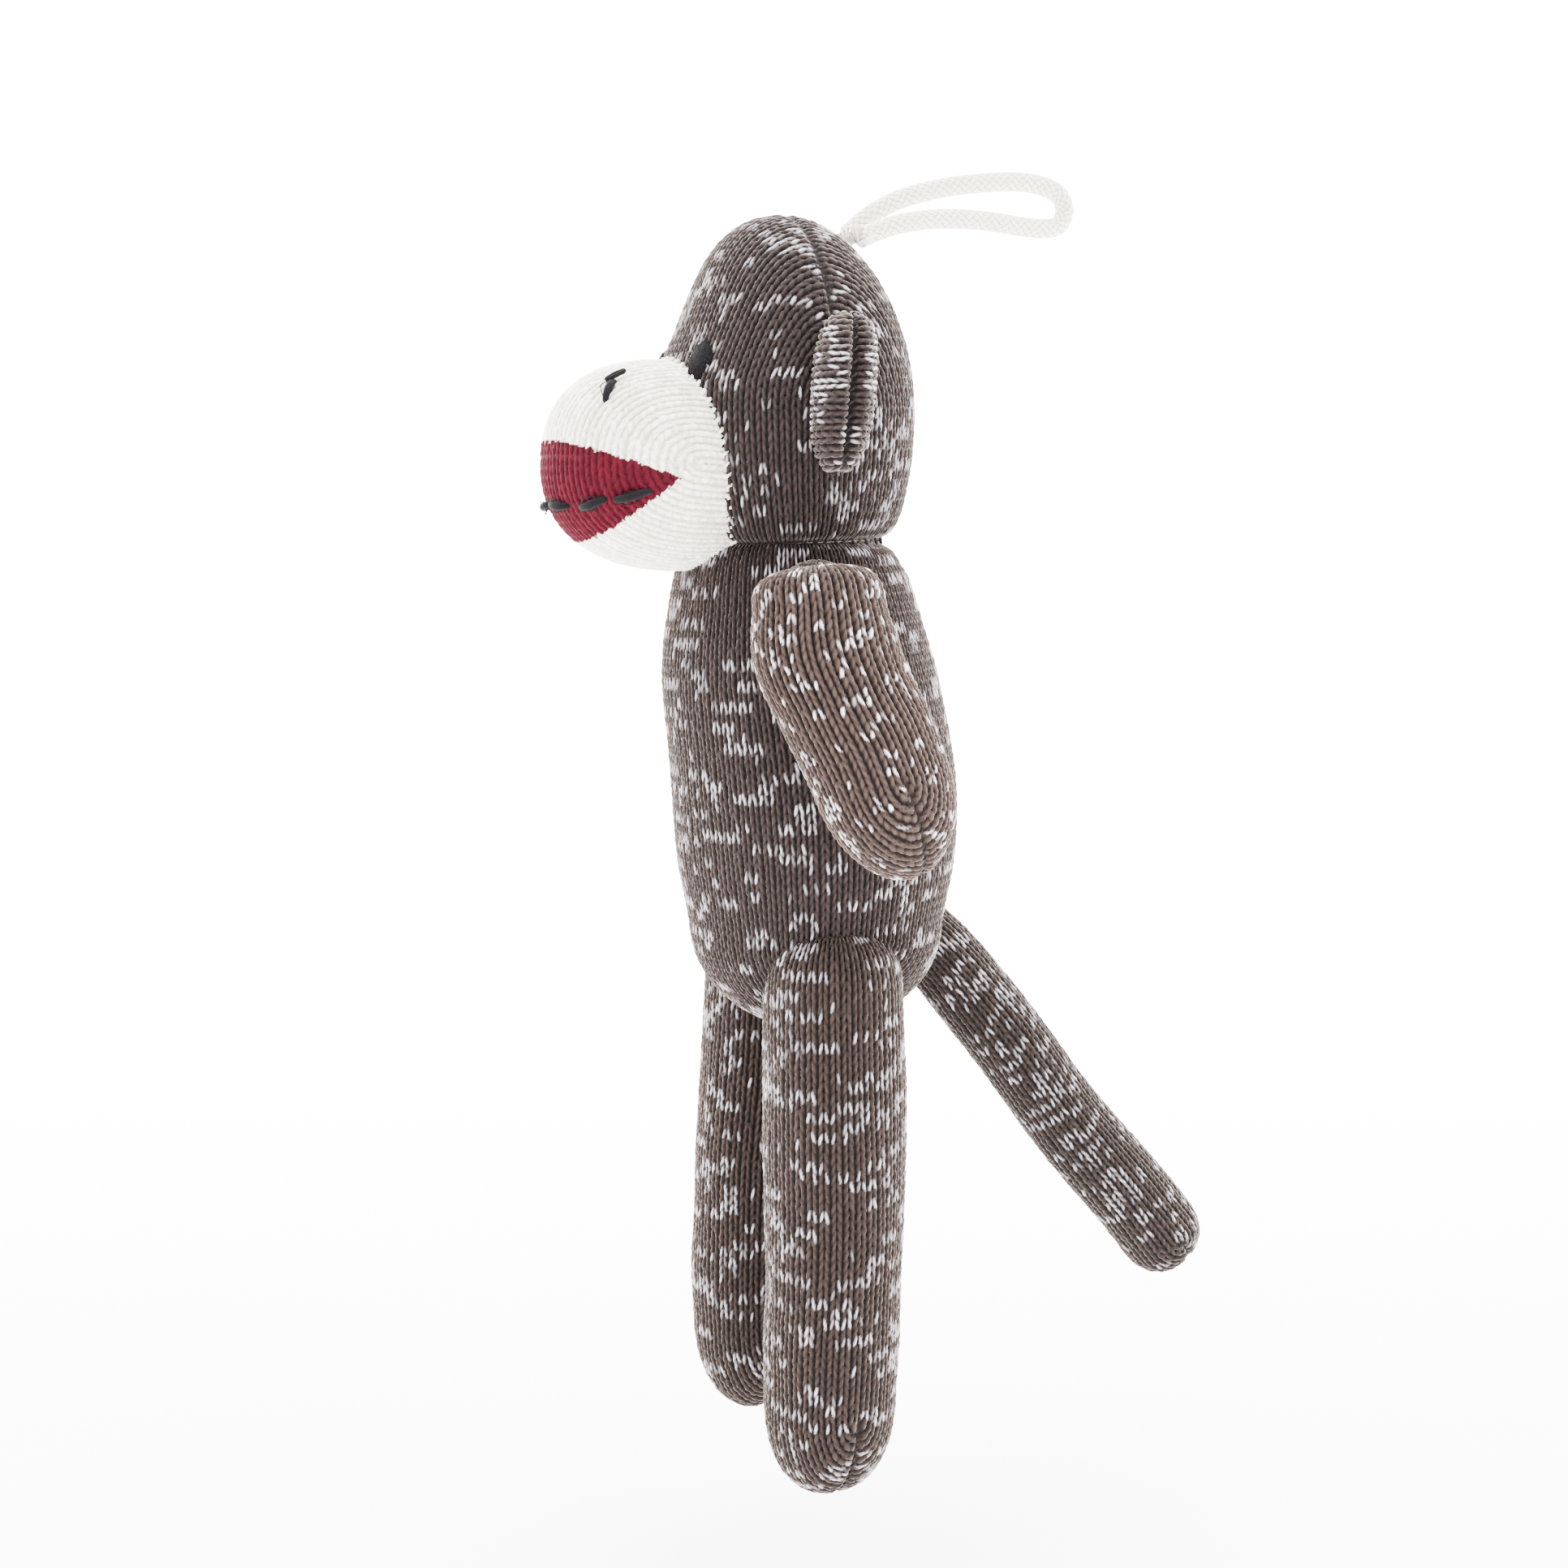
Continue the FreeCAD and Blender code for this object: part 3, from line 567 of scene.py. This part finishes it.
def knit_material(name, yarn, light, gap=(0.14, 0.12, 0.13), sheen=0.6):
    """Wool knit in two colours, with painted shade in the gaps between legs, fibre streaks and soft
    sheen.
    """
    material, tree, surface, add = node_material(name)
    lift = add("ShaderNodeAttribute", {"attribute_name": "lift"}).outputs["Fac"]
    tone = add("ShaderNodeAttribute", {"attribute_name": "tone"}).outputs["Fac"]
    fleck = add("ShaderNodeAttribute", {"attribute_name": "fleck"}).outputs["Fac"]
    streak = fibres(add, 1700.0, 0.35)
    base = mixed(add, fleck, yarn, light)
    # Painted shade: towards the gaps and the edges of each leg the colour is multiplied by the gap
    # colour.
    shade = ranged(add, lift, 0.08, 0.90, 0.0, 1.0)
    dark = mixed(add, 1.0, base, (*gap, 1.0), "MULTIPLY")
    base = mixed(add, shade, dark, base)
    # Tone brightens or darkens each leg: its own random tone, with painted light and shade on top for
    # some parts.
    bright = ranged(add, tone, -1.0, 4.0, 0.48, 2.28)
    grain = ranged(add, streak, 0.3, 0.7, 0.80, 1.16)
    both = add("ShaderNodeMath", {"operation": "MULTIPLY"}, in0=bright, in1=grain).outputs[0]
    grey = add("ShaderNodeCombineColor", None, Red=both, Green=both, Blue=both).outputs[0]
    base = mixed(add, 1.0, base, grey, "MULTIPLY")
    bump = add("ShaderNodeBump", None, Strength=0.5, Distance=0.00025, Height=streak)
    tree.links.new(base, surface.inputs["Base Color"])
    tree.links.new(bump.outputs[0], surface.inputs["Normal"])
    surface.inputs["Roughness"].default_value = 0.95
    surface.inputs["Specular IOR Level"].default_value = 0.15
    surface.inputs["Sheen Weight"].default_value = sheen
    surface.inputs["Sheen Roughness"].default_value = 0.3
    surface.inputs["Sheen Tint"].default_value = (1.0, 0.84, 0.74, 1.0)
    return material


def yarn_material(name, base, sheen, gloss=0.15, spread=(0.75, 1.2)):
    """Plain yarn with fibre noise."""
    material, tree, surface, add = node_material(name)
    streak = fibres(add, 2400.0, 0.6)
    grain = ranged(add, streak, 0.3, 0.7, *spread)
    grey = add("ShaderNodeCombineColor", None, Red=grain, Green=grain, Blue=grain).outputs[0]
    bump = add("ShaderNodeBump", None, Strength=0.6, Distance=0.0002, Height=streak)
    tree.links.new(mixed(add, 1.0, base, grey, "MULTIPLY"), surface.inputs["Base Color"])
    tree.links.new(bump.outputs[0], surface.inputs["Normal"])
    surface.inputs["Roughness"].default_value = 0.92
    surface.inputs["Specular IOR Level"].default_value = gloss
    surface.inputs["Sheen Weight"].default_value = sheen
    return material


def cord_material():
    """Braided natural cotton: pale strands, with painted shade in the gaps between them."""
    material, tree, surface, add = node_material("cord_cotton")
    lift = add("ShaderNodeAttribute", {"attribute_name": "lift"}).outputs["Fac"]
    streak = fibres(add, 2600.0, 1.0)
    # Painted shade: the colour darkens from the pale strands into the braid's gaps.
    shade = ranged(add, lift, 0.1, 0.75, 0.0, 1.0)
    base = mixed(add, shade, colour(150, 138, 120), colour(234, 228, 215))
    grain = ranged(add, streak, 0.3, 0.7, 0.85, 1.1)
    grey = add("ShaderNodeCombineColor", None, Red=grain, Green=grain, Blue=grain).outputs[0]
    bump = add("ShaderNodeBump", None, Strength=0.4, Distance=0.0002, Height=streak)
    tree.links.new(mixed(add, 1.0, base, grey, "MULTIPLY"), surface.inputs["Base Color"])
    tree.links.new(bump.outputs[0], surface.inputs["Normal"])
    surface.inputs["Roughness"].default_value = 0.9
    surface.inputs["Specular IOR Level"].default_value = 0.2
    return material


BROWN = colour(43, 34, 32)
LIMB_BROWN = colour(45, 35, 31)
LIGHT = colour(168, 162, 166)
CREAM = colour(236, 234, 227)
RED = colour(60, 0, 16)
KNIT_BODY = knit_material("knit_body", BROWN, LIGHT)
KNIT_LIMB = knit_material("knit_limb", LIMB_BROWN, LIGHT)
# The cream knit's gap colour is its painted shade between the legs.
KNIT_MUZZLE = knit_material("knit_cream", CREAM, RED, gap=(0.68, 0.64, 0.56), sheen=0.02)
YARN_BLACK = yarn_material("yarn_black", colour(11, 10, 12), 0.02, 0.08, (0.4, 1.6))
YARN_BROWN = yarn_material("yarn_brown", colour(24, 19, 18), 0.03)
YARN_CREAM = yarn_material("yarn_cream", colour(224, 219, 204), 0.05)
CORD_COTTON = cord_material()


def finish_piece(made, body, nodes):
    """Rides a rigid piece on its body and hides the CAD nodes it stands for."""
    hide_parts(*nodes)
    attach(made, body)
    return made


# ---------------------------------------------------------------- head and face

# Middle lines from the neck, with x, y, z, half width and half depth at each point.
HEAD_OUTLINE = [
    (0, -18.0, -77.2, 24.0, 24.0), (0, -18.1, -74.6, 26.9, 26.9), (0, -18.3, -70.5, 29.2, 29.2),
    (0, -18.8, -62.8, 31.4, 31.4), (0, -19.1, -54.8, 32.6, 32.6), (0, -19.3, -46.7, 33.0, 33.0),
]
TORSO_OUTLINE = [
    (0, -18.0, -76.7, 23.8, 23.8), (0, -18.0, -79.4, 26.4, 26.4), (0, -17.9, -84.0, 28.6, 28.6),
    (0, -17.0, -94.0, 31.6, 31.6), (0, -15.6, -108.0, 34.4, 34.4), (0, -12.8, -125.0, 36.0, 36.0),
    (0, -10.6, -142.0, 36.8, 36.8), (0, -9.8, -158.0, 36.0, 36.0), (0, -9.7, -175.0, 33.0, 33.0),
]
HEAD_TOP = 50.2            # from the head's widest ring to its crown
FOREHEAD_FLAT = 4.2        # how far the forehead is pressed in
TORSO_BOTTOM = 28.3        # from the end of the outline to the lowest point
NECK_ROUND = 23.6          # radius of the neck's seam
NECK_HEIGHT = -76.9        # height of the neck's seam


def make_head():
    """The head's skin, closed by a seam over the crown, with the neck's seam and the eyes."""
    grid = tube_grid(HEAD_OUTLINE, 74, 1.5, HEAD_TOP, 11)
    widest = HEAD_OUTLINE[-1]
    rise = np.clip((grid["points"][..., 2] - widest[2]) / HEAD_TOP, 0, 1)
    ahead = np.clip((widest[1] - grid["points"][..., 1]) / widest[4], 0, 1)
    brow = np.sin(math.pi * np.clip((rise - 0.15) / 0.85, 0, 1))
    grid["points"][..., 1] += FOREHEAD_FLAT * ahead * brow
    # The head's knit is painted darker than the torso's, as painted shade.
    made, seam, out = knitted_tube("head_skin", grid, KNIT_BODY, 11, up=1, pale=-0.4, tied=0.9)
    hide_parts("head_cover", "head_stuffing")
    pivot = PIVOT["head_turn"]
    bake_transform(made)
    stitches = overcast("crown_stitches", seam, out, YARN_BROWN, 2.6, 0.24, 0.6, 0.5)
    finish_piece(stitches, "head", ["crown_seam"])
    turn = np.linspace(0.3, 0.3 + 2 * math.pi, 180)
    out = np.stack([np.cos(turn), np.sin(turn), 0 * turn], axis=1)
    ring = NECK_ROUND * out + [0, pivot[1], NECK_HEIGHT]
    stitches = overcast("neck_stitches", ring, out, YARN_BROWN, 5.3, 0.38, 1.3, 0.0, 0.35)
    finish_piece(stitches, "head", ["neck_seam"])
    make_eyes(form_of(grid))


def make_eyes(head):
    """Two flat ovals of thick black wool, laid on the front of the head."""
    rows, columns = 48, 90
    bend = np.linspace(0, math.pi, rows)[:, None]
    turn = np.linspace(0, 2 * math.pi, columns, endpoint=False)[None, :]
    for word, side in SIDES.items():
        rng = np.random.default_rng(70 + side)
        facing = unit(np.array([side * 0.42, -0.9, 0.1]))
        middle = np.array([side * 13.4, -48.6, -34.0])
        level = unit(np.cross([0, 0, 1], facing))
        upright = np.cross(facing, level)
        tilt = 0.24 * side
        across, upward = level - tilt * upright, upright + tilt * level
        ragged = 1 + 0.05 * rng.normal(size=columns)[None, :]
        wide = 3.4 * np.sin(bend) * np.cos(turn) * (1 + 0.14 * np.sin(turn)) * ragged
        tall = 4.9 * np.sin(bend) * np.sin(turn) * ragged
        flat = middle + across * wide[..., None] + upward * tall[..., None]
        met, outward = laid_on(head, flat.reshape(-1, 3), -facing)
        thick = 1.5 * np.cos(bend) + 0.16 * rng.normal(size=(rows, columns)) * np.sin(bend)
        points = met + outward * thick.reshape(-1, 1)
        triangles = closed_triangles(rows, columns, tip="point")
        made = mesh_object("eye_wool_" + word, points, triangles, YARN_BLACK)
        finish_piece(made, "head", ["eye_" + word])


def head_side(height):
    """The head's half width at each height."""
    rows = np.array(HEAD_OUTLINE)
    up = np.clip((height - rows[-1, 2]) / HEAD_TOP, 0, 1)
    return np.interp(height, rows[:, 2], rows[:, 3]) * np.sqrt(1 - up ** 2)


def make_ear(word):
    """A padded tab that hugs the head's side, its two rolled edges meeting in a sewn crease
    down its outward face."""
    side = SIDES[word]
    root = PIVOT["ear_flap_" + word]
    tall, reach, deep, crease, crease_deep = 19.0, 9.0, 7.9, -0.1, 2.9
    height = np.sin(np.linspace(math.pi / 2, -math.pi / 2, 190))[:, None]
    width = (1 - np.abs(height) ** 2.9) ** 0.42 * (0.94 + 0.06 * height)
    turn = math.asin(crease) + np.linspace(0, 2 * math.pi, 176, endpoint=False)[None, :]
    fore, outward = np.sin(turn), np.cos(turn)
    out = np.where(outward > 0, reach * (1 - 0.10 * fore), 8.0) * outward
    groove = np.exp(-((fore - crease) / 0.24) ** 2) * np.clip(outward, 0, 1)
    held = groove * (1 - smooth_step(np.abs(height), 0.72, 0.97))
    z = root[2] + tall * height + 0 * fore
    stand = head_side(z) + 1.2 + 3.8 * width
    x = side * (stand + width * out - crease_deep * held * width)
    line_y = root[1] + 0.9 + 1.5 * height + 0.46 * (abs(root[0]) + 3.1 - stand)
    y = line_y + deep * fore * width
    points = np.stack([x, y, z], axis=-1)
    middle = np.stack([side * (stand - 2.1), line_y, z], axis=-1)
    steps = np.linalg.norm(np.roll(points, -1, axis=1) - points, axis=2)
    way_round = np.cumsum(steps, axis=1) - steps
    from_crease = np.minimum(way_round, steps.sum(axis=1, keepdims=True) - way_round)
    seed = 81 + side
    wales = 24
    wale = (tall + z - root[2]) / WALE
    course = 40 - from_crease / COURSE
    hold = np.exp(-(from_crease / 0.9) ** 2)
    hold[[0, -1]] = 1
    normal = grid_normals(points, middle)
    raised, values, _ = knit_values(points, normal, wale, course, wales, seed, hold)
    made = mesh_object("ear_skin_" + word, raised,
                       closed_triangles(*z.shape, tip="point"), KNIT_BODY, values)
    finish_piece(made, "ear_" + word, ["ear_" + word])
    line = points[16:-16, 0]
    facing = np.broadcast_to([side * 1.0, 0.1, 0.0], line.shape)
    stitches = overcast("ear_stitches_" + word, line, facing, YARN_BROWN, 3.1, 0.22, 0.7, 0.1)
    finish_piece(stitches, "ear_" + word, ["ear_seam_" + word])


def make_torso():
    """The body's skin, pear-shaped and sewn across its bottom."""
    grid = tube_grid(TORSO_OUTLINE, 82, 1.5, TORSO_BOTTOM, 21)
    made, _, _ = knitted_tube("torso_skin", grid, KNIT_BODY, 21, tied=0.9)
    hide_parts("torso_cover", "torso_stuffing", "neck_stuffing",
                "hip_stuffing_left", "hip_stuffing_right", "tail_root_stuffing")
    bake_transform(made)


def make_leg(word, body):
    """A leg's skin: a straight tube whose full, rounded top is sewn to the hip."""
    side = SIDES[word]
    x, y, z = PIVOT["leg_swing_" + word]
    back = (0.0, 0.3, 0.6, 0.2, -0.4, -0.8) if side > 0 else (3.2, 1.8, -0.2, -1.0, -1.4, -1.4)
    down = (-0.5, 33.0, 57.0, 76.0, 90.0, 102.0)
    wide = (17.4, 17.8, 17.5, 17.2, 17.4, 16.9)
    outline = [(x, y + shift, z - drop, half, half) for shift, drop, half in zip(back, down, wide)]
    seed = 31 + side
    grid = tube_grid(outline, 36, 18.5, 27.5, seed, root_blunt=0.7, blunt=0.86)
    made, seam, out = knitted_tube("leg_skin_" + word, grid, KNIT_LIMB, seed)
    finish_piece(made, "leg_" + word, ["leg_cover_" + word, "leg_stuffing_" + word])
    stitches = overcast("foot_stitches_" + word, seam, out, YARN_BROWN, 2.6, 0.24, 0.6, 0.5)
    finish_piece(stitches, "leg_" + word, ["foot_seam_" + word])
    line, out = meeting_line(grid, body)
    stitches = overcast("hip_stitches_" + word, line, out, YARN_BROWN, 2.7, 0.34, 0.8, 0.2)
    finish_piece(stitches, "torso", ["hip_seam_" + word])


def make_arm(word):
    """An arm's skin: a flattened tube gathered at the shoulder and sewn across the hand."""
    side = SIDES[word]
    x, y, z = PIVOT["arm_swing_" + word]
    path = [
        (11.6, -5.0, -6.0, 11.4, 16.4), (13.6, -4.5, -15.0, 12.0, 18.0),
        (16.0, -1.0, -26.0, 12.4, 16.9), (18.2, 4.0, -37.0, 12.6, 16.7),
        (19.7, 7.7, -47.0, 12.6, 16.3),
    ]
    outline = [(x + side * out, y + back, z + up, wide, deep) for out, back, up, wide, deep in path]
    seed = 41 + side
    grid = tube_grid(outline, 31, 9.0, 24.0, seed, root_blunt=0.65)
    # The arm's knit is painted lighter, as painted light.
    made, seam, out = knitted_tube("arm_skin_" + word, grid, KNIT_LIMB, seed, course_size=2.3,
                                   rib=0.8, dots=0.3, longest=4, pale=2.3)
    finish_piece(made, "arm_" + word, ["arm_cover_" + word, "arm_stuffing_" + word])
    stitches = overcast("hand_stitches_" + word, seam, out, YARN_BROWN, 2.6, 0.24, 0.6, 0.5)
    finish_piece(stitches, "arm_" + word, ["hand_seam_" + word])
    make_gather(word, (x, y, z))


def make_gather(word, centre):
    """The drawn-up knit between the body and the arm, a small ball of folds."""
    height = np.sin(np.linspace(math.pi / 2, -math.pi / 2, 80))[:, None]
    turn = np.linspace(0, 2 * math.pi, 128, endpoint=False)[None, :]
    around = np.sqrt(1 - height ** 2)
    fold = 1 + 0.06 * np.sin(8 * turn) * around
    ball = np.stack([around * np.cos(turn) * fold, around * np.sin(turn) * fold,
                     height + 0 * turn], axis=-1)
    points = np.array(centre) + np.array([7.0, 7.5, 4.5]) * ball
    normal = unit(points - centre)
    wales = 16
    wale = turn / (2 * math.pi) * wales + 0 * height
    course = 6.0 * np.arcsin(height) / COURSE + 0 * turn
    hold = 0 * wale
    hold[[0, -1]] = 1
    raised, values, _ = knit_values(points, normal, wale, course, wales, 91, hold)
    made = mesh_object("shoulder_gather_" + word, raised,
                       closed_triangles(*wale.shape, tip="point"), KNIT_LIMB, values)
    finish_piece(made, "shoulder_" + word, ["shoulder_seam_" + word])


def make_tail(body):
    """The tail's skin: a thin tube slanting down from the lower back."""
    outline = [
        (0, 20.5, -181.0, 9.0, 9.2), (0, 25.6, -186.0, 9.6, 9.8), (0, 39.2, -201.4, 10.3, 10.7),
        (0, 68.0, -237.5, 10.6, 11.1), (0, 91.0, -263.8, 11.0, 11.5), (0, 101.2, -275.9, 11.3, 11.9),
    ]
    grid = tube_grid(outline, 22, 6.0, 12.5, 51, blunt=0.8)
    # The tail's knit is painted darker than the legs'.
    made, seam, out = knitted_tube("tail_skin", grid, KNIT_LIMB, 51, pale=-0.6)
    finish_piece(made, "tail", ["tail_cover", "tail_stuffing"])
    stitches = overcast("tail_end_stitches", seam, out, YARN_BROWN, 2.6, 0.24, 0.6, 0.5)
    finish_piece(stitches, "tail", ["tail_end_seam"])
    line, out = meeting_line(grid, body)
    stitches = overcast("tail_root_stitches", line, out, YARN_BROWN, 2.6, 0.3, 0.7, 0.2)
    finish_piece(stitches, "tail", ["tail_seam"])


LIP_CORNER = (-56.0, -61.9)     # how far forward and how high the lips' corners are


def make_muzzle(head):
    """The muzzle's skin: a knitted heel with a red patch, its wales running over the nose."""
    forward = np.array([0, -math.cos(math.radians(3.5)), math.sin(math.radians(3.5))])
    widest = np.array([0, -49.4, -58.65])
    outline = [(*(widest - 13 * forward), 18.6, 24.2), (*(widest - 5 * forward), 20.8, 25.2),
               (*widest, 22.3, 25.6)]
    grid = tube_grid(outline, 50, -3.0, 33.0, 61, 0.25, blunt=0.85)
    points = grid["points"]
    normal = grid_normals(points, grid["middle"])
    wale, course, _, _ = lay_knit(grid, 1, course_size=2.3, heel=True)
    sideways = np.abs(np.cos(grid["around"])) * 25
    behind_lips = points[..., 1] - LIP_CORNER[0]
    eyelets = np.exp(-(sideways / 0.7) ** 2) * np.cos(math.pi * behind_lips / 3.4) ** 4
    hold = np.where(behind_lips > 0.5, 0.9 * eyelets, 0)
    hold[0] = 1
    raised, values, row = knit_values(points, normal, wale, course, grid["wales"], 61, hold,
                                      relief=0.7)
    along = unit(np.gradient(points, axis=0)) * np.sign(np.gradient(course, axis=0))[..., None]
    stitch = points + along * (0.25 * (row + 0.5 - course) * COURSE)[..., None]
    values["fleck"] = red_patch(stitch).astype(float)
    raised[-1] = points[-1]
    made = mesh_object("muzzle_skin", raised, closed_triangles(*wale.shape), KNIT_MUZZLE, values)
    finish_piece(made, "head", ["muzzle_cover", "muzzle_stuffing", "mouth_panel"])
    line, out = meeting_line(grid, head)
    stitches = overcast("muzzle_stitches", line, out, YARN_CREAM, 2.6, 0.45, 0.8, 0.1)
    finish_piece(stitches, "head", ["muzzle_seam"])
    make_face_stitches(form_of(grid))


def red_patch(points):
    """Whether a point of the muzzle is in the red wedge, seen from the side."""
    ahead = LIP_CORNER[0] - points[..., 1]
    above = points[..., 2] - LIP_CORNER[1]
    return (ahead > 0) & (above < 0.35 * ahead) & (above > -0.83 * ahead)


def make_face_stitches(muzzle):
    """Three dashes of black yarn along each side of the lips, and a mark for each nostril."""
    dashes, marks = [], []
    for side in SIDES.values():
        for number, (start, end) in enumerate((((0.8, -67.8), (7.6, -68.4)),
                                               ((10.2, -69.0), (15.5, -66.9)),
                                               ((16.4, -67.3), (20.2, -65.1)))):
            ends = [(side * across, 0, height) for across, height in (start, end)]
            dashes += running_stitch(muzzle, *ends, (0, 1, 0), 0.95, 100 + number)
        outward = (-0.8 * side, 0.4, -0.45)
        low, high = (side * 13.1, -71.6, -43.9), (side * 10.2, -68.0, -39.2)
        marks += running_stitch(muzzle, low, high, outward, 0.9, 110)
        share = np.linspace(0, 2 * math.pi, 26)[:, None]
        curl = (np.array([side * 10.2, -67.6, -38.8]) + np.cos(share) * [0, 2.0, 0.8]
                + np.sin(share) * [side * 0.8, 0.4, 1.2])
        met, normal = laid_on(muzzle, curl, outward)
        marks.append(tube_along(met + normal * 1.5, 0.55, 8))
    for name, shapes, node in (("mouth_dashes", dashes, "mouth_stitches"),
                               ("nostril_marks", marks, "nostril_stitches")):
        made = mesh_object(name, *joined(shapes), YARN_BLACK)
        finish_piece(made, "head", [node])


def make_loop():
    """The hanging loop: one braided cord, both ends sewn into the back of the crown."""
    curve = bpy.data.curves.new("loop_route", "CURVE")
    curve.dimensions = "3D"
    curve.resolution_u = 16
    spline = curve.splines.new("NURBS")
    spline.points.add(len(LOOP_ROUTE) - 1)
    for point, corner in zip(spline.points, LOOP_ROUTE):
        point.co = (*(value / 1000 for value in corner), 1)
    spline.order_u = 3
    spline.use_endpoint_u = True
    holder = bpy.data.objects.new("loop_route", curve)
    bpy.context.scene.collection.objects.link(holder)
    bpy.context.view_layer.update()
    line = bpy.data.meshes.new_from_object(holder)
    path = np.array([vertex.co for vertex in line.vertices]) * 1000
    bpy.data.objects.remove(holder)
    points, triangles, bump = braid(path, CORD / 2)
    # The braid's bump drives the painted shade in the cord's gaps.
    made = mesh_object("hang_loop_cord", points, triangles, CORD_COTTON, {"lift": bump})
    finish_piece(made, "loop", ["hang_loop"])
    bar = np.linspace([-5.6, 0.4, 0], [5.6, 0.4, 0], 12)
    above = np.broadcast_to([0.0, 0.0, 1.0], bar.shape)
    tack = overcast("loop_tack_stitches", bar, above, YARN_CREAM, 1.15, 0.5, 2.8, 0, 2.8)
    finish_piece(tack, "loop", ["loop_tack"])


# ---------------------------------------------------------------- camera and studio

VIEW_TURN, VIEW_RISE = math.radians(65), math.radians(7)
TO_CAMERA = Vector((math.sin(VIEW_TURN) * math.cos(VIEW_RISE),
                    -math.cos(VIEW_TURN) * math.cos(VIEW_RISE), math.sin(VIEW_RISE)))
STUDIO_FRONT, STUDIO_BACK = 0.7, 24.0      # how bright the light is before and behind the toy
STUDIO_ABOVE = 0.45                        # how far up the brightest part leans
FLOOR_NEAR, FLOOR_FAR = 1.0, 14.0          # how bright the floor is, under and behind the toy
FLOOR_REACH = 6                            # metres from the middle to each edge


def make_camera():
    """A camera at the angle, height and distance that show the toy from its left side."""
    data = bpy.data.cameras.new("camera")
    camera = bpy.data.objects.new("camera", data)
    bpy.context.scene.collection.objects.link(camera)
    camera.location = Vector((0, -0.019, -0.139)) + 0.5 * TO_CAMERA
    camera.rotation_euler = (-TO_CAMERA).to_track_quat("-Z", "Y").to_euler()
    data.sensor_width = 36
    data.lens = 44.4
    data.clip_start = 0.01
    bpy.context.scene.camera = camera


def make_studio():
    """A pale floor that glows, dimly under the toy and brightly behind it, a plain white
    backdrop all round, and soft light that is brightest from behind and above the toy."""
    low = cad_low[2] - 0.02
    mesh = bpy.data.meshes.new("floor")
    corners = [(x * FLOOR_REACH, y * FLOOR_REACH, low) for x, y in ((-1, -1), (1, -1), (1, 1), (-1, 1))]
    mesh.from_pydata(corners, [], [(0, 1, 2, 3)])
    floor = bpy.data.objects.new("floor", mesh)
    bpy.context.scene.collection.objects.link(floor)
    material, tree, surface, add = node_material("pale_floor")
    place = add("ShaderNodeTexCoord").outputs["Object"]
    behind = add("ShaderNodeVectorMath", {"operation": "DOT_PRODUCT"}, in0=place, in1=-TO_CAMERA)
    glow = ranged(add, behind.outputs["Value"], 0.1, 1.4, FLOOR_NEAR, FLOOR_FAR)
    tree.links.new(glow, surface.inputs["Emission Strength"])
    surface.inputs["Base Color"].default_value = (0.7, 0.7, 0.7, 1)
    surface.inputs["Roughness"].default_value = 0.95
    surface.inputs["Emission Color"].default_value = (1, 1, 1, 1)
    mesh.materials.append(material)
    world = bpy.data.worlds.new("studio")
    world.use_nodes = True
    tree = world.node_tree
    place = tree.nodes.new("ShaderNodeTexCoord")
    facing = tree.nodes.new("ShaderNodeVectorMath")
    facing.operation = "DOT_PRODUCT"
    facing.inputs[1].default_value = (Vector((0, 0, STUDIO_ABOVE)) - TO_CAMERA).normalized()
    bright = tree.nodes.new("ShaderNodeMapRange")
    for socket, value in zip(bright.inputs[1:5], (-0.45, 0.35, STUDIO_FRONT, STUDIO_BACK)):
        socket.default_value = value
    backdrop = tree.nodes["Background"]
    backdrop.inputs[0].default_value = (1, 1, 1, 1)
    tree.links.new(place.outputs["Generated"], facing.inputs[0])
    tree.links.new(facing.outputs["Value"], bright.inputs[0])
    seen = tree.nodes.new("ShaderNodeLightPath")
    strength = tree.nodes.new("ShaderNodeMix")
    strength.inputs["B"].default_value = STUDIO_BACK
    tree.links.new(seen.outputs["Is Camera Ray"], strength.inputs["Factor"])
    tree.links.new(bright.outputs[0], strength.inputs["A"])
    tree.links.new(strength.outputs["Result"], backdrop.inputs[1])
    bpy.context.scene.world = world


make_head()
make_torso()
make_muzzle(outside_of(HEAD_OUTLINE, HEAD_TOP))
torso_form = outside_of(TORSO_OUTLINE, TORSO_BOTTOM)
make_tail(torso_form)
for word in SIDES:
    make_ear(word)
    make_arm(word)
    make_leg(word, torso_form)
make_loop()
make_camera()
make_studio()
